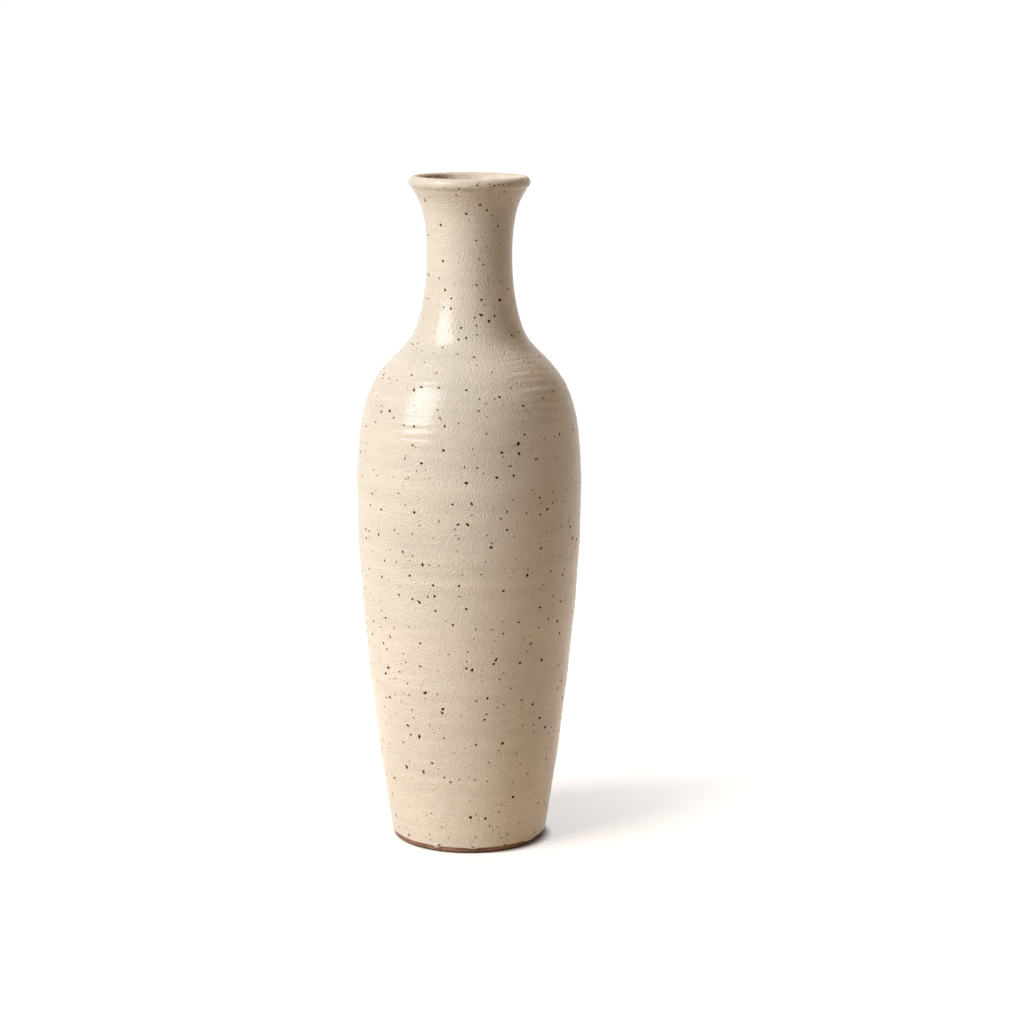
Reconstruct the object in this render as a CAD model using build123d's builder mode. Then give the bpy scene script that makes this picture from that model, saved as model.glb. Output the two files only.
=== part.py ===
from build123d import *
import os
from math import atan2, cos, degrees, radians, sin, tan

# Bottle vase, thrown in stoneware: a body and a separately thrown neck, luted together with slip,
# then glazed inside and out. All lengths are in millimetres and all leans in degrees from upright,
# positive where the wall opens outwards as it rises. The vase stands on z = 0, its axis is Z, and
# heights and diameters of the outside are taken over the glaze.

# Heights of the two thrown pieces
BODY_HEIGHT = 227.0
NECK_HEIGHT = 73.0

# Outside of the body: heights from the table, and drops below the seam with the neck
GLAZE_LINE_HEIGHT = 3.0
GLAZE_LINE_DIAMETER = 70.6
GLAZE_LINE_LEAN = 9.5
LOWER_WALL_HEIGHT = 80.0
LOWER_WALL_DIAMETER = 91.0
BELLY_DROP = 70.0
BELLY_DIAMETER = 100.8
SHOULDER_DROP = 37.0
SHOULDER_DIAMETER = 97.1
TURN_DROP = 20.0
TURN_DIAMETER = 87.4
SLOPE_DROP = 9.0
SLOPE_DIAMETER = 71.5
SEAM_DIAMETER = 54.3
SEAM_LEAN = -36.5

# Outside of the neck: rise above the seam, and drops below the rim
COLLAR_RISE = 10.0
COLLAR_DIAMETER = 45.1
THROAT_DROP = 36.0
THROAT_DIAMETER = 38.0
FLARE_DROP = 17.5
FLARE_DIAMETER = 40.8

# Rolled lip: how far it hangs out over the circle under it, then round to the rim and into the mouth
UNDER_LIP_DIAMETER = 51.6
UNDER_LIP_DROP = 5.3
LIP_OVERHANG = 0.95
LIP_ROUND = 2.5
MOUTH_RUN = 1.95
MOUTH_DROP = 1.0

# Clay walls and the coats on them
LOWER_WALL = 6.2
BELLY_WALL = 5.2
SHOULDER_WALL = 5.0
NECK_WALL = 4.2
FLOOR_THICKNESS = 7.0
GLAZE_COAT = 0.5
LINER_COAT = 0.5
SLIP_LAYER = 0.8

# Inside of the base: a flat floor that turns up into the wall on a round heel
FLOOR_DIAMETER = 34.0
HEEL_DIAMETER = 62.0
HEEL_RISE = 11.5

# Trimmed foot ring and the hollow that it stands round
FOOT_DIAMETER = 68.0
FOOT_WIDTH = 7.0
FOOT_BEVEL = 0.6
HOLLOW_DEPTH = 4.0
HOLLOW_TAPER = 30.0
HOLLOW_CROWN = 1.2

# Throwing rings: grooves left by the fingers, finest at the shoulder
RING_COUNT = 9
RING_SPREAD = 1.5
GROOVE_DEPTH_PER_WIDTH = 0.007

# Derived heights, and the circles where the lip is widest, level on top and open at the mouth
HEIGHT = BODY_HEIGHT + NECK_HEIGHT
BELLY_HEIGHT = BODY_HEIGHT - BELLY_DROP
HOLLOW_TOP = HOLLOW_DEPTH + HOLLOW_CROWN
FLOOR_HEIGHT = HOLLOW_TOP + FLOOR_THICKNESS
LIP_DIAMETER = UNDER_LIP_DIAMETER + 2 * LIP_OVERHANG
RIM_DIAMETER = LIP_DIAMETER - 2 * LIP_ROUND
MOUTH_DIAMETER = RIM_DIAMETER - 2 * MOUTH_RUN


def heading(lean):
    """Unit step upwards along a wall with this lean."""
    return Vector(sin(radians(lean)), cos(radians(lean)))


def into_wall(direction):
    """Unit step square to a wall that rises in this direction, towards the axis."""
    return Vector(-direction.Y, direction.X)


def round_turn(along, across):
    """Degrees that a round turns through while it goes this far along its tangent and this far across."""
    return 2 * degrees(atan2(across, along))


# Leans at the ends of the three rounds: under the lip, into the mouth, and up from the floor
UNDER_LIP_LEAN = round_turn(UNDER_LIP_DROP - LIP_ROUND, LIP_OVERHANG)
MOUTH_LEAN = 90 - round_turn(MOUTH_RUN, MOUTH_DROP)
HEEL_LEAN = 90 - round_turn((HEEL_DIAMETER - FLOOR_DIAMETER) / 2, HEEL_RISE)


class Station:
    """A place on the glazed outside, with the direction of the wall and the clay's thickness there."""

    def __init__(self, diameter, height, direction, clay=0.0):
        self.point = Vector(diameter / 2, height)
        self.direction = direction
        self.inside_depth = GLAZE_COAT + clay

    def at(self, depth):
        """Point that lies this deep under the glazed outside."""
        return self.point + into_wall(self.direction) * depth

    def inside(self, coat=0.0):
        """Point on the inside of the clay, or on a coat of glaze over it."""
        return self.at(self.inside_depth + coat)


def lay_stations(places, first_lean, last_lean):
    """Stations along one smooth curve, from rows of diameter, height and clay thickness."""
    points = [Vector(diameter / 2, height) for diameter, height, _ in places]
    curve = Spline(*points, tangents=[heading(first_lean), heading(last_lean)], mode=Mode.PRIVATE)
    return [
        Station(diameter, height, curve.tangent_at(point), clay)
        for point, (diameter, height, clay) in zip(points, places)
    ]


body_stations = lay_stations(
    [
        (GLAZE_LINE_DIAMETER, GLAZE_LINE_HEIGHT, LOWER_WALL),
        (LOWER_WALL_DIAMETER, LOWER_WALL_HEIGHT, LOWER_WALL),
        (BELLY_DIAMETER, BELLY_HEIGHT, BELLY_WALL),
        (SHOULDER_DIAMETER, BODY_HEIGHT - SHOULDER_DROP, SHOULDER_WALL),
        (TURN_DIAMETER, BODY_HEIGHT - TURN_DROP, SHOULDER_WALL),
        (SLOPE_DIAMETER, BODY_HEIGHT - SLOPE_DROP, SHOULDER_WALL),
        (SEAM_DIAMETER, BODY_HEIGHT, SHOULDER_WALL),
    ],
    GLAZE_LINE_LEAN,
    SEAM_LEAN,
)
glaze_line = body_stations[0]
seam = body_stations[-1]

# The neck starts on top of the slip layer, which follows the wall up from the seam
seam_top = seam.point + heading(SEAM_LEAN) * SLIP_LAYER
neck_stations = lay_stations(
    [
        (2 * seam_top.X, seam_top.Y, SHOULDER_WALL),
        (COLLAR_DIAMETER, BODY_HEIGHT + COLLAR_RISE, NECK_WALL),
        (THROAT_DIAMETER, HEIGHT - THROAT_DROP, NECK_WALL),
        (FLARE_DIAMETER, HEIGHT - FLARE_DROP, NECK_WALL),
        (UNDER_LIP_DIAMETER, HEIGHT - UNDER_LIP_DROP, NECK_WALL),
    ],
    SEAM_LEAN,
    UNDER_LIP_LEAN,
)
neck_foot, collar, throat, flare, under_lip = neck_stations

# The lip turns over: up to its widest circle, level across the rim, then down into the mouth
lip = Station(LIP_DIAMETER, HEIGHT - LIP_ROUND, heading(0))
rim = Station(RIM_DIAMETER, HEIGHT, heading(-90))
mouth = Station(MOUTH_DIAMETER, HEIGHT - MOUTH_DROP, heading(MOUTH_LEAN - 180))


def body_outside(depth):
    """Body's outside, this deep under the glaze: a chain of finger grooves up a smooth curve."""
    points = [station.at(depth) for station in body_stations]
    ends = [heading(GLAZE_LINE_LEAN), heading(SEAM_LEAN)]
    curve = Spline(*points, tangents=ends, mode=Mode.PRIVATE)
    ridges = [curve.length * (1 - (i / RING_COUNT) ** RING_SPREAD) for i in range(RING_COUNT + 1)]
    for upper, lower in zip(ridges, ridges[1:]):
        top, middle, bottom = (
            curve.position_at(distance, PositionMode.LENGTH)
            for distance in (upper, (upper + lower) / 2, lower)
        )
        groove = into_wall((top - bottom).normalized()) * (upper - lower) * GROOVE_DEPTH_PER_WIDTH
        ThreePointArc(bottom, middle + groove, top)


def neck_outside(depth):
    """Neck's outside, this deep under the glaze, from the slip layer to the lip's widest circle."""
    points = [station.at(depth) for station in neck_stations]
    Spline(*points, tangents=[heading(SEAM_LEAN), under_lip.direction])
    TangentArc(lip.at(depth), under_lip.at(depth), tangent=lip.direction * -1)


def lip_outside(depth):
    """Round of the lip, this deep under the glaze, from its widest circle to the top of the rim."""
    CenterArc((RIM_DIAMETER / 2, HEIGHT - LIP_ROUND), LIP_ROUND - depth, 0, 90)


def mouth_inside(depth, coat):
    """Inside of the mouth, from the flare with its coat up to the rim, this deep under the glaze."""
    Spline(flare.inside(coat), mouth.at(depth), tangents=[flare.direction, heading(MOUTH_LEAN)])
    TangentArc(rim.at(depth), mouth.at(depth), tangent=rim.direction)


def neck_inside(coat):
    """Inside of the neck from the slip layer up to the flare, with a coat on the clay."""
    points = [station.inside(coat) for station in (neck_foot, collar, throat, flare)]
    Spline(*points, tangents=[heading(SEAM_LEAN), flare.direction])


def seam_edge(depth):
    """Short edge of the slip layer, this deep under the glaze, from the body's wall to the neck's."""
    Line(seam.at(depth), neck_foot.at(depth))


def body_inside(coat):
    """Inside of the body, from the middle of the floor round the heel and up to the seam."""
    heel_way = heading(HEEL_LEAN)
    heel = Vector(HEEL_DIAMETER / 2, FLOOR_HEIGHT + HEEL_RISE) + into_wall(heel_way) * coat
    floor_edge = Vector(FLOOR_DIAMETER / 2, FLOOR_HEIGHT + coat)
    Line((0, FLOOR_HEIGHT + coat), floor_edge)
    TangentArc(floor_edge, heel, tangent=(1, 0))
    wall = [heel] + [station.inside(coat) for station in body_stations[1:]]
    curve = Spline(*wall, tangents=[heel_way, heading(SEAM_LEAN)], mode=Mode.PRIVATE)
    places = [curve.param_at_point(point) for point in wall]
    for lower, upper in zip(places, places[1:]):
        ThreePointArc(curve @ lower, curve @ ((lower + upper) / 2), curve @ upper)


# Thrown body: the wall on its floor, with a trimmed foot ring that stays bare
with BuildPart() as clay_body:
    with BuildSketch(Plane.XZ):
        with BuildLine():
            body_outside(GLAZE_COAT)
            Line(seam.at(GLAZE_COAT), seam.inside())
            body_inside(0.0)
            ring_inside = FOOT_DIAMETER / 2 - FOOT_WIDTH
            hollow_edge = (ring_inside - HOLLOW_DEPTH * tan(radians(HOLLOW_TAPER)), HOLLOW_DEPTH)
            Line((0, FLOOR_HEIGHT), (0, HOLLOW_TOP))
            TangentArc((0, HOLLOW_TOP), hollow_edge, tangent=(1, 0))
            Polyline(hollow_edge, (ring_inside, 0), (FOOT_DIAMETER / 2, 0), glaze_line.at(GLAZE_COAT))
        make_face()
    revolve(axis=Axis.Z)
    foot_edges = clay_body.edges().filter_by(GeomType.CIRCLE).group_by(Axis.Z)[0]
    chamfer(foot_edges, FOOT_BEVEL)

# Slip layer: the ring of clay slurry that lutes the neck to the shoulder
with BuildPart() as joint_slip:
    with BuildSketch(Plane.XZ):
        with BuildLine():
            seam_edge(GLAZE_COAT)
            Line(neck_foot.at(GLAZE_COAT), neck_foot.inside())
            seam_edge(seam.inside_depth)
            Line(seam.inside(), seam.at(GLAZE_COAT))
        make_face()
    revolve(axis=Axis.Z)

# Thrown neck: drawn in to a narrow throat and rolled outwards at the lip
with BuildPart() as clay_neck:
    with BuildSketch(Plane.XZ):
        with BuildLine():
            neck_outside(GLAZE_COAT)
            lip_outside(GLAZE_COAT)
            mouth_inside(GLAZE_COAT, 0.0)
            neck_inside(0.0)
            Line(neck_foot.inside(), neck_foot.at(GLAZE_COAT))
        make_face()
    revolve(axis=Axis.Z)

# Outer glaze: from its edge above the foot, over the lip and a little way into the mouth
with BuildPart() as outer_glaze:
    with BuildSketch(Plane.XZ):
        with BuildLine():
            body_outside(0.0)
            seam_edge(0.0)
            neck_outside(0.0)
            lip_outside(0.0)
            mouth_inside(0.0, LINER_COAT)
            Line(flare.inside(LINER_COAT), flare.inside())
            mouth_inside(GLAZE_COAT, 0.0)
            lip_outside(GLAZE_COAT)
            neck_outside(GLAZE_COAT)
            seam_edge(GLAZE_COAT)
            body_outside(GLAZE_COAT)
            Line(glaze_line.at(0.0), glaze_line.at(GLAZE_COAT))
        make_face()
    revolve(axis=Axis.Z)

# Liner glaze: poured inside first, it covers the floor and the wall up to the outer glaze's edge
with BuildPart() as liner_glaze:
    with BuildSketch(Plane.XZ):
        with BuildLine():
            body_inside(0.0)
            seam_edge(seam.inside_depth)
            neck_inside(0.0)
            Line(flare.inside(), flare.inside(LINER_COAT))
            neck_inside(LINER_COAT)
            seam_edge(seam.inside_depth + LINER_COAT)
            body_inside(LINER_COAT)
            Line((0, FLOOR_HEIGHT), (0, FLOOR_HEIGHT + LINER_COAT))
        make_face()
    revolve(axis=Axis.Z)

os.makedirs("parts", exist_ok=True)

clay_body.part.label = "clay_body"
export_step(clay_body.part, "parts/clay_body.step")

joint_slip.part.label = "joint_slip"
export_step(joint_slip.part, "parts/joint_slip.step")

clay_neck.part.label = "clay_neck"
export_step(clay_neck.part, "parts/clay_neck.step")

outer_glaze.part.label = "outer_glaze"
export_step(outer_glaze.part, "parts/outer_glaze.step")

liner_glaze.part.label = "liner_glaze"
export_step(liner_glaze.part, "parts/liner_glaze.step")
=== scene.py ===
"""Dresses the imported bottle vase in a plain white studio: thrown glaze, liner, bare foot and iron specks.

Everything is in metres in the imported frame: the vase stands on z = 0 and its axis is Z. The sections of the
glaze, the liner and the clay are read from the frame, thrown again with finer rings, and dressed.
"""
import logging
import math
from dataclasses import dataclass, field
from enum import Enum
from typing import Any, Callable, Sequence

import bpy
import numpy as np
from mathutils import Euler, Matrix, Vector
from mathutils.bvhtree import BVHTree


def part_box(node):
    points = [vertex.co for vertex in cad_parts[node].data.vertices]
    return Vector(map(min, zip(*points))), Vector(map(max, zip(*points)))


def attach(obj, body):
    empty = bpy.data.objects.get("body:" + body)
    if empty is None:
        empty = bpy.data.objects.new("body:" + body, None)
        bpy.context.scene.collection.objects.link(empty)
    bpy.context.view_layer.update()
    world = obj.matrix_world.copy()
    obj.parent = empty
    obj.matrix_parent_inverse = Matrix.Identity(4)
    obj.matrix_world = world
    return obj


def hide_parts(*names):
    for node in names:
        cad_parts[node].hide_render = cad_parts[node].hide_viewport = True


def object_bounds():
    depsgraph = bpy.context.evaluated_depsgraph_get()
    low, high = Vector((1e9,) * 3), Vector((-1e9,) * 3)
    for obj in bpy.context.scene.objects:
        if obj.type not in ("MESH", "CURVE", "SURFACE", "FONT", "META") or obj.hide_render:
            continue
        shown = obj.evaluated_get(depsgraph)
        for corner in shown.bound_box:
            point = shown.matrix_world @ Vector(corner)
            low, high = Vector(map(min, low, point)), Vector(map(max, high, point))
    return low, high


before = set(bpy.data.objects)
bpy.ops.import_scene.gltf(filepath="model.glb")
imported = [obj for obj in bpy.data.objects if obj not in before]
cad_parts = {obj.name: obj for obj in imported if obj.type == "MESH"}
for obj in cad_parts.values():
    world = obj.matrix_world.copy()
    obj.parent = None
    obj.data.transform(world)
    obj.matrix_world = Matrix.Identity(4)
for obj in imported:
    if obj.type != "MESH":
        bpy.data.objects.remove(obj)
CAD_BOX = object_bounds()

LOG = logging.getLogger("bottle_vase")
MM = 0.001
BODY = "root"
BAKE_MAP = "OFBake"

Colour = tuple[float, float, float]
WHITE: Colour = (1.0, 1.0, 1.0)
WARM_WHITE: Colour = (1.0, 0.82, 0.68)


class Slot(Enum):
    """Material slots that the pieces here take."""

    STONEWARE = "stoneware"
    SPECKLED = "speckled_glaze"
    LINER = "liner_glaze"


class Side(Enum):
    """Whether a stretch of a section is open to view or lies against another piece."""

    SHOWN = 1.0
    COVERED = 0.0


def srgb(red: int, green: int, blue: int) -> Colour:
    """Linear colour of a shade that is written as it looks on a screen.

    Args:
        red: Red from 0 to 255.
        green: Green from 0 to 255.
        blue: Blue from 0 to 255.

    Returns:
        The same colour in linear light, from 0 to 1.
    """
    shares = (channel / 255 for channel in (red, green, blue))
    return tuple(s / 12.92 if s <= 0.04045 else ((s + 0.055) / 1.055) ** 2.4 for s in shares)


class NodeSheet:
    """A node tree under construction, with short ways to add and join its nodes."""

    def __init__(self, tree: bpy.types.NodeTree) -> None:
        """Takes an empty tree to fill."""
        self.tree = tree

    def add(self, kind: str, inputs: dict | None = None, **settings: Any) -> bpy.types.Node:
        """Adds a node.

        Args:
            kind: Blender's name for the type of node.
            inputs: Values or sockets for its inputs, by the input's name or number.
            settings: Properties of the node, set before its inputs.

        Returns:
            The new node.
        """
        node = self.tree.nodes.new(kind)
        for key, value in settings.items():
            setattr(node, key, value)
        for key, value in (inputs or {}).items():
            self.feed(node, key, value)
        return node

    def feed(self, node: bpy.types.Node, key: str | int, value: Any) -> None:
        """Sets one input of a node to a value, or joins it to a socket or to a node's first output.

        Args:
            node: The node to feed.
            key: The input's name or number.
            value: A plain value, a socket or a node.
        """
        if isinstance(key, int):
            socket = node.inputs[key]
        else:
            socket = next(s for s in node.inputs if s.name == key and s.enabled)
        if isinstance(value, bpy.types.Node):
            value = self.out(value)
        if isinstance(value, bpy.types.NodeSocket):
            self.tree.links.new(value, socket)
        else:
            socket.default_value = value

    @staticmethod
    def out(node: bpy.types.Node, name: str | None = None) -> bpy.types.NodeSocket:
        """Output of a node by its name, or its first one in use."""
        return next(s for s in node.outputs if s.enabled and name in (None, s.name))

    def math(self, operation: str, *values: Any, clamp: bool = False) -> bpy.types.NodeSocket:
        """Result of a maths node on numbers or sockets."""
        node = self.add("ShaderNodeMath", dict(enumerate(values)), operation=operation, use_clamp=clamp)
        return self.out(node)

    def vector(self, operation: str, *values: Any) -> bpy.types.NodeSocket:
        """Result of a vector maths node on vectors or sockets."""
        node = self.add("ShaderNodeVectorMath", dict(enumerate(values)), operation=operation)
        return self.out(node)

    def scaled(self, vector: Any, share: Any) -> bpy.types.NodeSocket:
        """A vector made this many times as long."""
        node = self.add("ShaderNodeVectorMath", {0: vector, "Scale": share}, operation="SCALE")
        return self.out(node)

    def join(self, x: Any = 0.0, y: Any = 0.0, z: Any = 0.0) -> bpy.types.NodeSocket:
        """A vector from its three parts."""
        return self.out(self.add("ShaderNodeCombineXYZ", {"X": x, "Y": y, "Z": z}))

    def split(self, vector: Any) -> tuple[bpy.types.NodeSocket, ...]:
        """The three parts of a vector."""
        return tuple(self.add("ShaderNodeSeparateXYZ", {0: vector}).outputs)

    def remap(self, value: Any, low: float, high: float, to_low: Any = 0.0, to_high: Any = 1.0,
              smooth: bool = False) -> bpy.types.NodeSocket:
        """A value taken from one range to another and held inside it.

        Args:
            value: The number to take over.
            low: Start of the range it comes from.
            high: End of the range it comes from.
            to_low: What the start becomes.
            to_high: What the end becomes.
            smooth: Whether the ends ease in and out.

        Returns:
            The socket with the new value.
        """
        way = "SMOOTHSTEP" if smooth else "LINEAR"
        inputs = {"Value": value, "From Min": low, "From Max": high, "To Min": to_low, "To Max": to_high}
        return self.out(self.add("ShaderNodeMapRange", inputs, interpolation_type=way))

    def noise(self, place: Any, scale: float, detail: float = 0.0,
              roughness: float = 0.5) -> bpy.types.NodeSocket:
        """Smooth noise from 0 to 1 about a half, at a place in space.

        Args:
            place: Vector to read it at.
            scale: How many features fit in a unit of the vector.
            detail: How many finer layers are added.
            roughness: How strong the finer layers are.

        Returns:
            The socket with the noise.
        """
        inputs = {"Vector": place, "Scale": scale, "Detail": detail, "Roughness": roughness}
        return self.out(self.add("ShaderNodeTexNoise", inputs, noise_dimensions="3D"))

    def colour_mix(self, share: Any, first: Any, second: Any) -> bpy.types.NodeSocket:
        """Two colours mixed by a share of the second.

        Args:
            share: How much of the second colour is used, from 0 to 1.
            first: Colour or socket at share 0.
            second: Colour or socket at share 1.

        Returns:
            The socket with the mixed colour.
        """
        first, second = (c if isinstance(c, bpy.types.NodeSocket) else (*c, 1.0) for c in (first, second))
        inputs = {"Factor": share, "A": first, "B": second}
        return self.out(self.add("ShaderNodeMix", inputs, data_type="RGBA"))

    def measure(self, operation: str, *values: Any) -> bpy.types.NodeSocket:
        """Number that a vector maths node gives, such as a length."""
        return self.vector(operation, *values).node.outputs["Value"]

    def object_place(self) -> bpy.types.NodeSocket:
        """Where a shaded point lies, in the vase's own frame."""
        return self.out(self.add("ShaderNodeTexCoord"), "Object")

    def painted(self, name: str) -> bpy.types.NodeSocket:
        """Number that a piece's own attribute gives to its material."""
        return self.out(self.add("ShaderNodeAttribute", attribute_name=name), "Fac")

    def position(self) -> bpy.types.NodeSocket:
        """Where a point of the geometry lies."""
        return self.out(self.add("GeometryNodeInputPosition"))

    def named(self, name: str, kind: str = "FLOAT") -> bpy.types.NodeSocket:
        """A named attribute of the geometry."""
        return self.out(self.add("GeometryNodeInputNamedAttribute", {"Name": name}, data_type=kind))


@dataclass(frozen=True)
class GlazeFinish:
    """A satin stoneware glaze: cloudy, faintly banded by the wheel, with fine flecks and a pebbled skin.

    Its ridges are painted paler where they stand proud and darker in their grooves, a painted highlight and
    shade on the rings. The clay's colour breaks through where the coat is thin, most on the left, the side
    that the glaze was poured off over; inside the mouth the same colour is painted shade, darkest on the
    left.
    Noises are written as scale, detail and roughness, and flecks as cells in a metre, radius in a cell and
    share of the cells.
    """

    name: str
    colour: Colour
    # Colour of thin glaze, which inside the mouth is painted shade.
    thin_glaze_and_shade_colour: Colour
    fleck_colour: Colour
    roughness: float
    gloss: float
    gloss_roughness: float
    flecked: float
    pebble_depth: float
    skin_depth: float
    cloud: float = 0.05
    band: float = 0.035
    mottle: float = 0.025
    # Painted highlight and shade on the relief: how much the colour changes for each step of relief height.
    ridge_highlight_and_shade: float = 0.03
    sheen: float = 0.2
    # Thin glaze, and the painted shade in the mouth, are strongest on the left and fall to a kept share on
    # the right.
    thin_and_shade_left_span: tuple[float, float] = (-19 * MM, 3 * MM)
    kept_thin_and_shade: float = 0.2
    thin_calm: float = 0.4
    thin_gloss: float = 0.1

    CLOUDS = (22.0, 3.0)
    BANDS = (9.0, 9.0, 230.0)
    BAND_NOISE = (1.0, 2.0)
    MOTTLES = (620.0, 2.0, 0.6)
    PATCHES = (160.0, 3.0, 0.65)
    PATCH_SPAN = (0.38, 0.62)
    PATCH_SHARE = (0.2, 0.5)
    PEBBLES = (1400.0, 2800.0)
    FLECKS = ((300.0, 0.10, 0.45), (620.0, 0.13, 0.3))
    SMALLEST_FLECK = 0.4
    FLECK_EDGE = (0.6, 1.2)
    NOISE_SPAN = (0.3, 0.7)
    SATIN = (-0.04, 0.06)
    CALM_BY = 0.35
    DULL_BY = 0.6

    def material(self) -> bpy.types.Material:
        """Builds the glaze as a node material on object coordinates and the piece's own attributes.

        Returns:
            The material.
        """
        material, sheet, shader = plain_material(self.name)
        place = sheet.object_place()
        across, _, _ = sheet.split(place)
        # Thin glaze and painted mouth shade, stronger towards the left.
        poured = sheet.remap(across, *self.thin_and_shade_left_span, 1.0, self.kept_thin_and_shade, smooth=True)
        # Thin glaze on the lip and the lower edge, and painted shade inside the mouth.
        thin = sheet.math("MULTIPLY", sheet.painted("thin"), poured)
        mottle = sheet.noise(place, *self.MOTTLES)
        clouds = (
            (sheet.noise(place, *self.CLOUDS), self.cloud),
            (sheet.noise(sheet.vector("MULTIPLY", place, self.BANDS), *self.BAND_NOISE), self.band),
            (mottle, self.mottle),
        )
        # Painted highlight and shade: the colour is paler where the wall's relief stands proud and darker
        # where it sinks.
        light = sheet.math("MULTIPLY_ADD", sheet.painted("relief"), self.ridge_highlight_and_shade, 1.0)
        for noise, depth in clouds:
            light = sheet.math("ADD", light, sheet.remap(noise, *self.NOISE_SPAN, -depth, depth))
        # The thin colour stands for thin glaze, and inside the mouth for painted shade.
        colour = sheet.colour_mix(self.thin_glaze_and_shade_share(sheet, place, thin), self.colour, self.thin_glaze_and_shade_colour)
        lit = sheet.vector("MULTIPLY", colour, sheet.join(light, light, light))
        for scale, radius, share in self.FLECKS:
            fleck = sheet.math("MULTIPLY", self.fleck(sheet, place, scale, radius, share), self.flecked)
            lit = sheet.colour_mix(fleck, lit, self.fleck_colour)
        sheet.feed(shader, "Base Color", lit)
        satin = (self.roughness + change for change in self.SATIN)
        sheet.feed(shader, "Roughness", sheet.remap(mottle, *self.NOISE_SPAN, *satin))
        calm = sheet.remap(thin, 0.0, self.CALM_BY, 1.0, self.thin_calm)
        sheet.feed(shader, "Normal", self.pebbled(sheet, place, self.pebble_depth, calm))
        shader.inputs["Specular IOR Level"].default_value = self.sheen
        coat = sheet.remap(thin, 0.0, self.DULL_BY, self.gloss, self.thin_gloss * self.gloss)
        sheet.feed(shader, "Coat Weight", coat)
        shader.inputs["Coat Roughness"].default_value = self.gloss_roughness
        sheet.feed(shader, "Coat Normal", self.pebbled(sheet, place, self.skin_depth, calm))
        return material

    def thin_glaze_and_shade_share(self, sheet: NodeSheet, place: Any, thin: Any) -> bpy.types.NodeSocket:
        """How much of the clay's colour breaks through where the coat runs thin, and how much painted shade
        shows in the mouth.
        """
        patchy = sheet.remap(sheet.noise(place, *self.PATCHES), *self.PATCH_SPAN)
        return sheet.math("MULTIPLY", thin, sheet.remap(patchy, 0.0, 1.0, *self.PATCH_SHARE))

    def fleck(self, sheet: NodeSheet, place: Any, scale: float, radius: float,
              kept: float) -> bpy.types.NodeSocket:
        """Soft round flecks, one at most in each cell of a scattered grid.

        Args:
            sheet: The material's nodes.
            place: Object coordinates.
            scale: Cells in a metre.
            radius: Radius of the largest fleck, as a share of a cell.
            kept: Share of the cells that have a fleck.

        Returns:
            The socket with the fleck's strength, from 0 to 1.
        """
        cells = sheet.add("ShaderNodeTexVoronoi", {"Vector": place, "Scale": scale})
        chance, size, _ = sheet.split(sheet.out(cells, "Color"))
        here = sheet.math("LESS_THAN", chance, kept)
        reach = sheet.remap(size, 0.0, 1.0, self.SMALLEST_FLECK * radius, radius)
        near = sheet.math("DIVIDE", sheet.out(cells, "Distance"), reach)
        return sheet.math("MULTIPLY", here, sheet.remap(near, *self.FLECK_EDGE, 1.0, 0.0, smooth=True))

    def pebbled(self, sheet: NodeSheet, place: Any, depth: float, strength: Any) -> bpy.types.NodeSocket:
        """Normal of a shallowly pebbled surface.

        Args:
            sheet: The material's nodes.
            place: Object coordinates.
            depth: How deep the pebbles are.
            strength: How much of that depth shows, from 0 to 1.

        Returns:
            The socket with the normal.
        """
        coarse, fine = (sheet.noise(place, scale) for scale in self.PEBBLES)
        height = sheet.math("MULTIPLY", sheet.math("ADD", coarse, fine), 0.5)
        inputs = {"Height": height, "Distance": depth, "Strength": strength}
        return sheet.out(sheet.add("ShaderNodeBump", inputs))


@dataclass(frozen=True)
class ClayFinish:
    """Fired, unglazed clay: rough, grogged and turned on the wheel, with painted contact shade along its
    lowest edge.
    """

    name: str
    colour: Colour
    dark_colour: Colour
    grog_colour: Colour
    grog_depth: float
    # Painted contact shade along the lowest edge: how high it reaches, its colour and how strong it is.
    contact_shade_height: float
    contact_shade_colour: Colour = (0.01, 0.005, 0.003)
    contact_shade: float = 0.85
    roughness: float = 0.88

    TOASTED = (60.0, 4.0, 0.6)
    TOAST_SPAN = (0.35, 0.65)
    GRIT = (1500.0, 2.0, 0.7)
    PALE_GRIT = (0.58, 0.7)
    DARK_GRIT = (0.42, 0.3)

    def material(self) -> bpy.types.Material:
        """Builds the clay as a node material on object coordinates.

        Returns:
            The material.
        """
        material, sheet, shader = plain_material(self.name)
        shader.inputs["Roughness"].default_value = self.roughness
        place = sheet.object_place()
        toasted = sheet.remap(sheet.noise(place, *self.TOASTED), *self.TOAST_SPAN)
        colour = sheet.colour_mix(toasted, self.colour, self.dark_colour)
        grit = sheet.noise(place, *self.GRIT)
        colour = sheet.colour_mix(sheet.remap(grit, *self.PALE_GRIT), colour, self.grog_colour)
        colour = sheet.colour_mix(sheet.remap(grit, *self.DARK_GRIT), colour, self.dark_colour)
        _, _, height = sheet.split(place)
        # Painted contact shade: the clay darkens towards its lowest edge, where it meets the floor.
        edge = sheet.remap(height, 0.5 * self.contact_shade_height, self.contact_shade_height, self.contact_shade, 0.0, smooth=True)
        sheet.feed(shader, "Base Color", sheet.colour_mix(edge, colour, self.contact_shade_colour))
        rough = sheet.add("ShaderNodeBump", {"Height": grit, "Distance": self.grog_depth})
        sheet.feed(shader, "Normal", rough)
        return material


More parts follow.
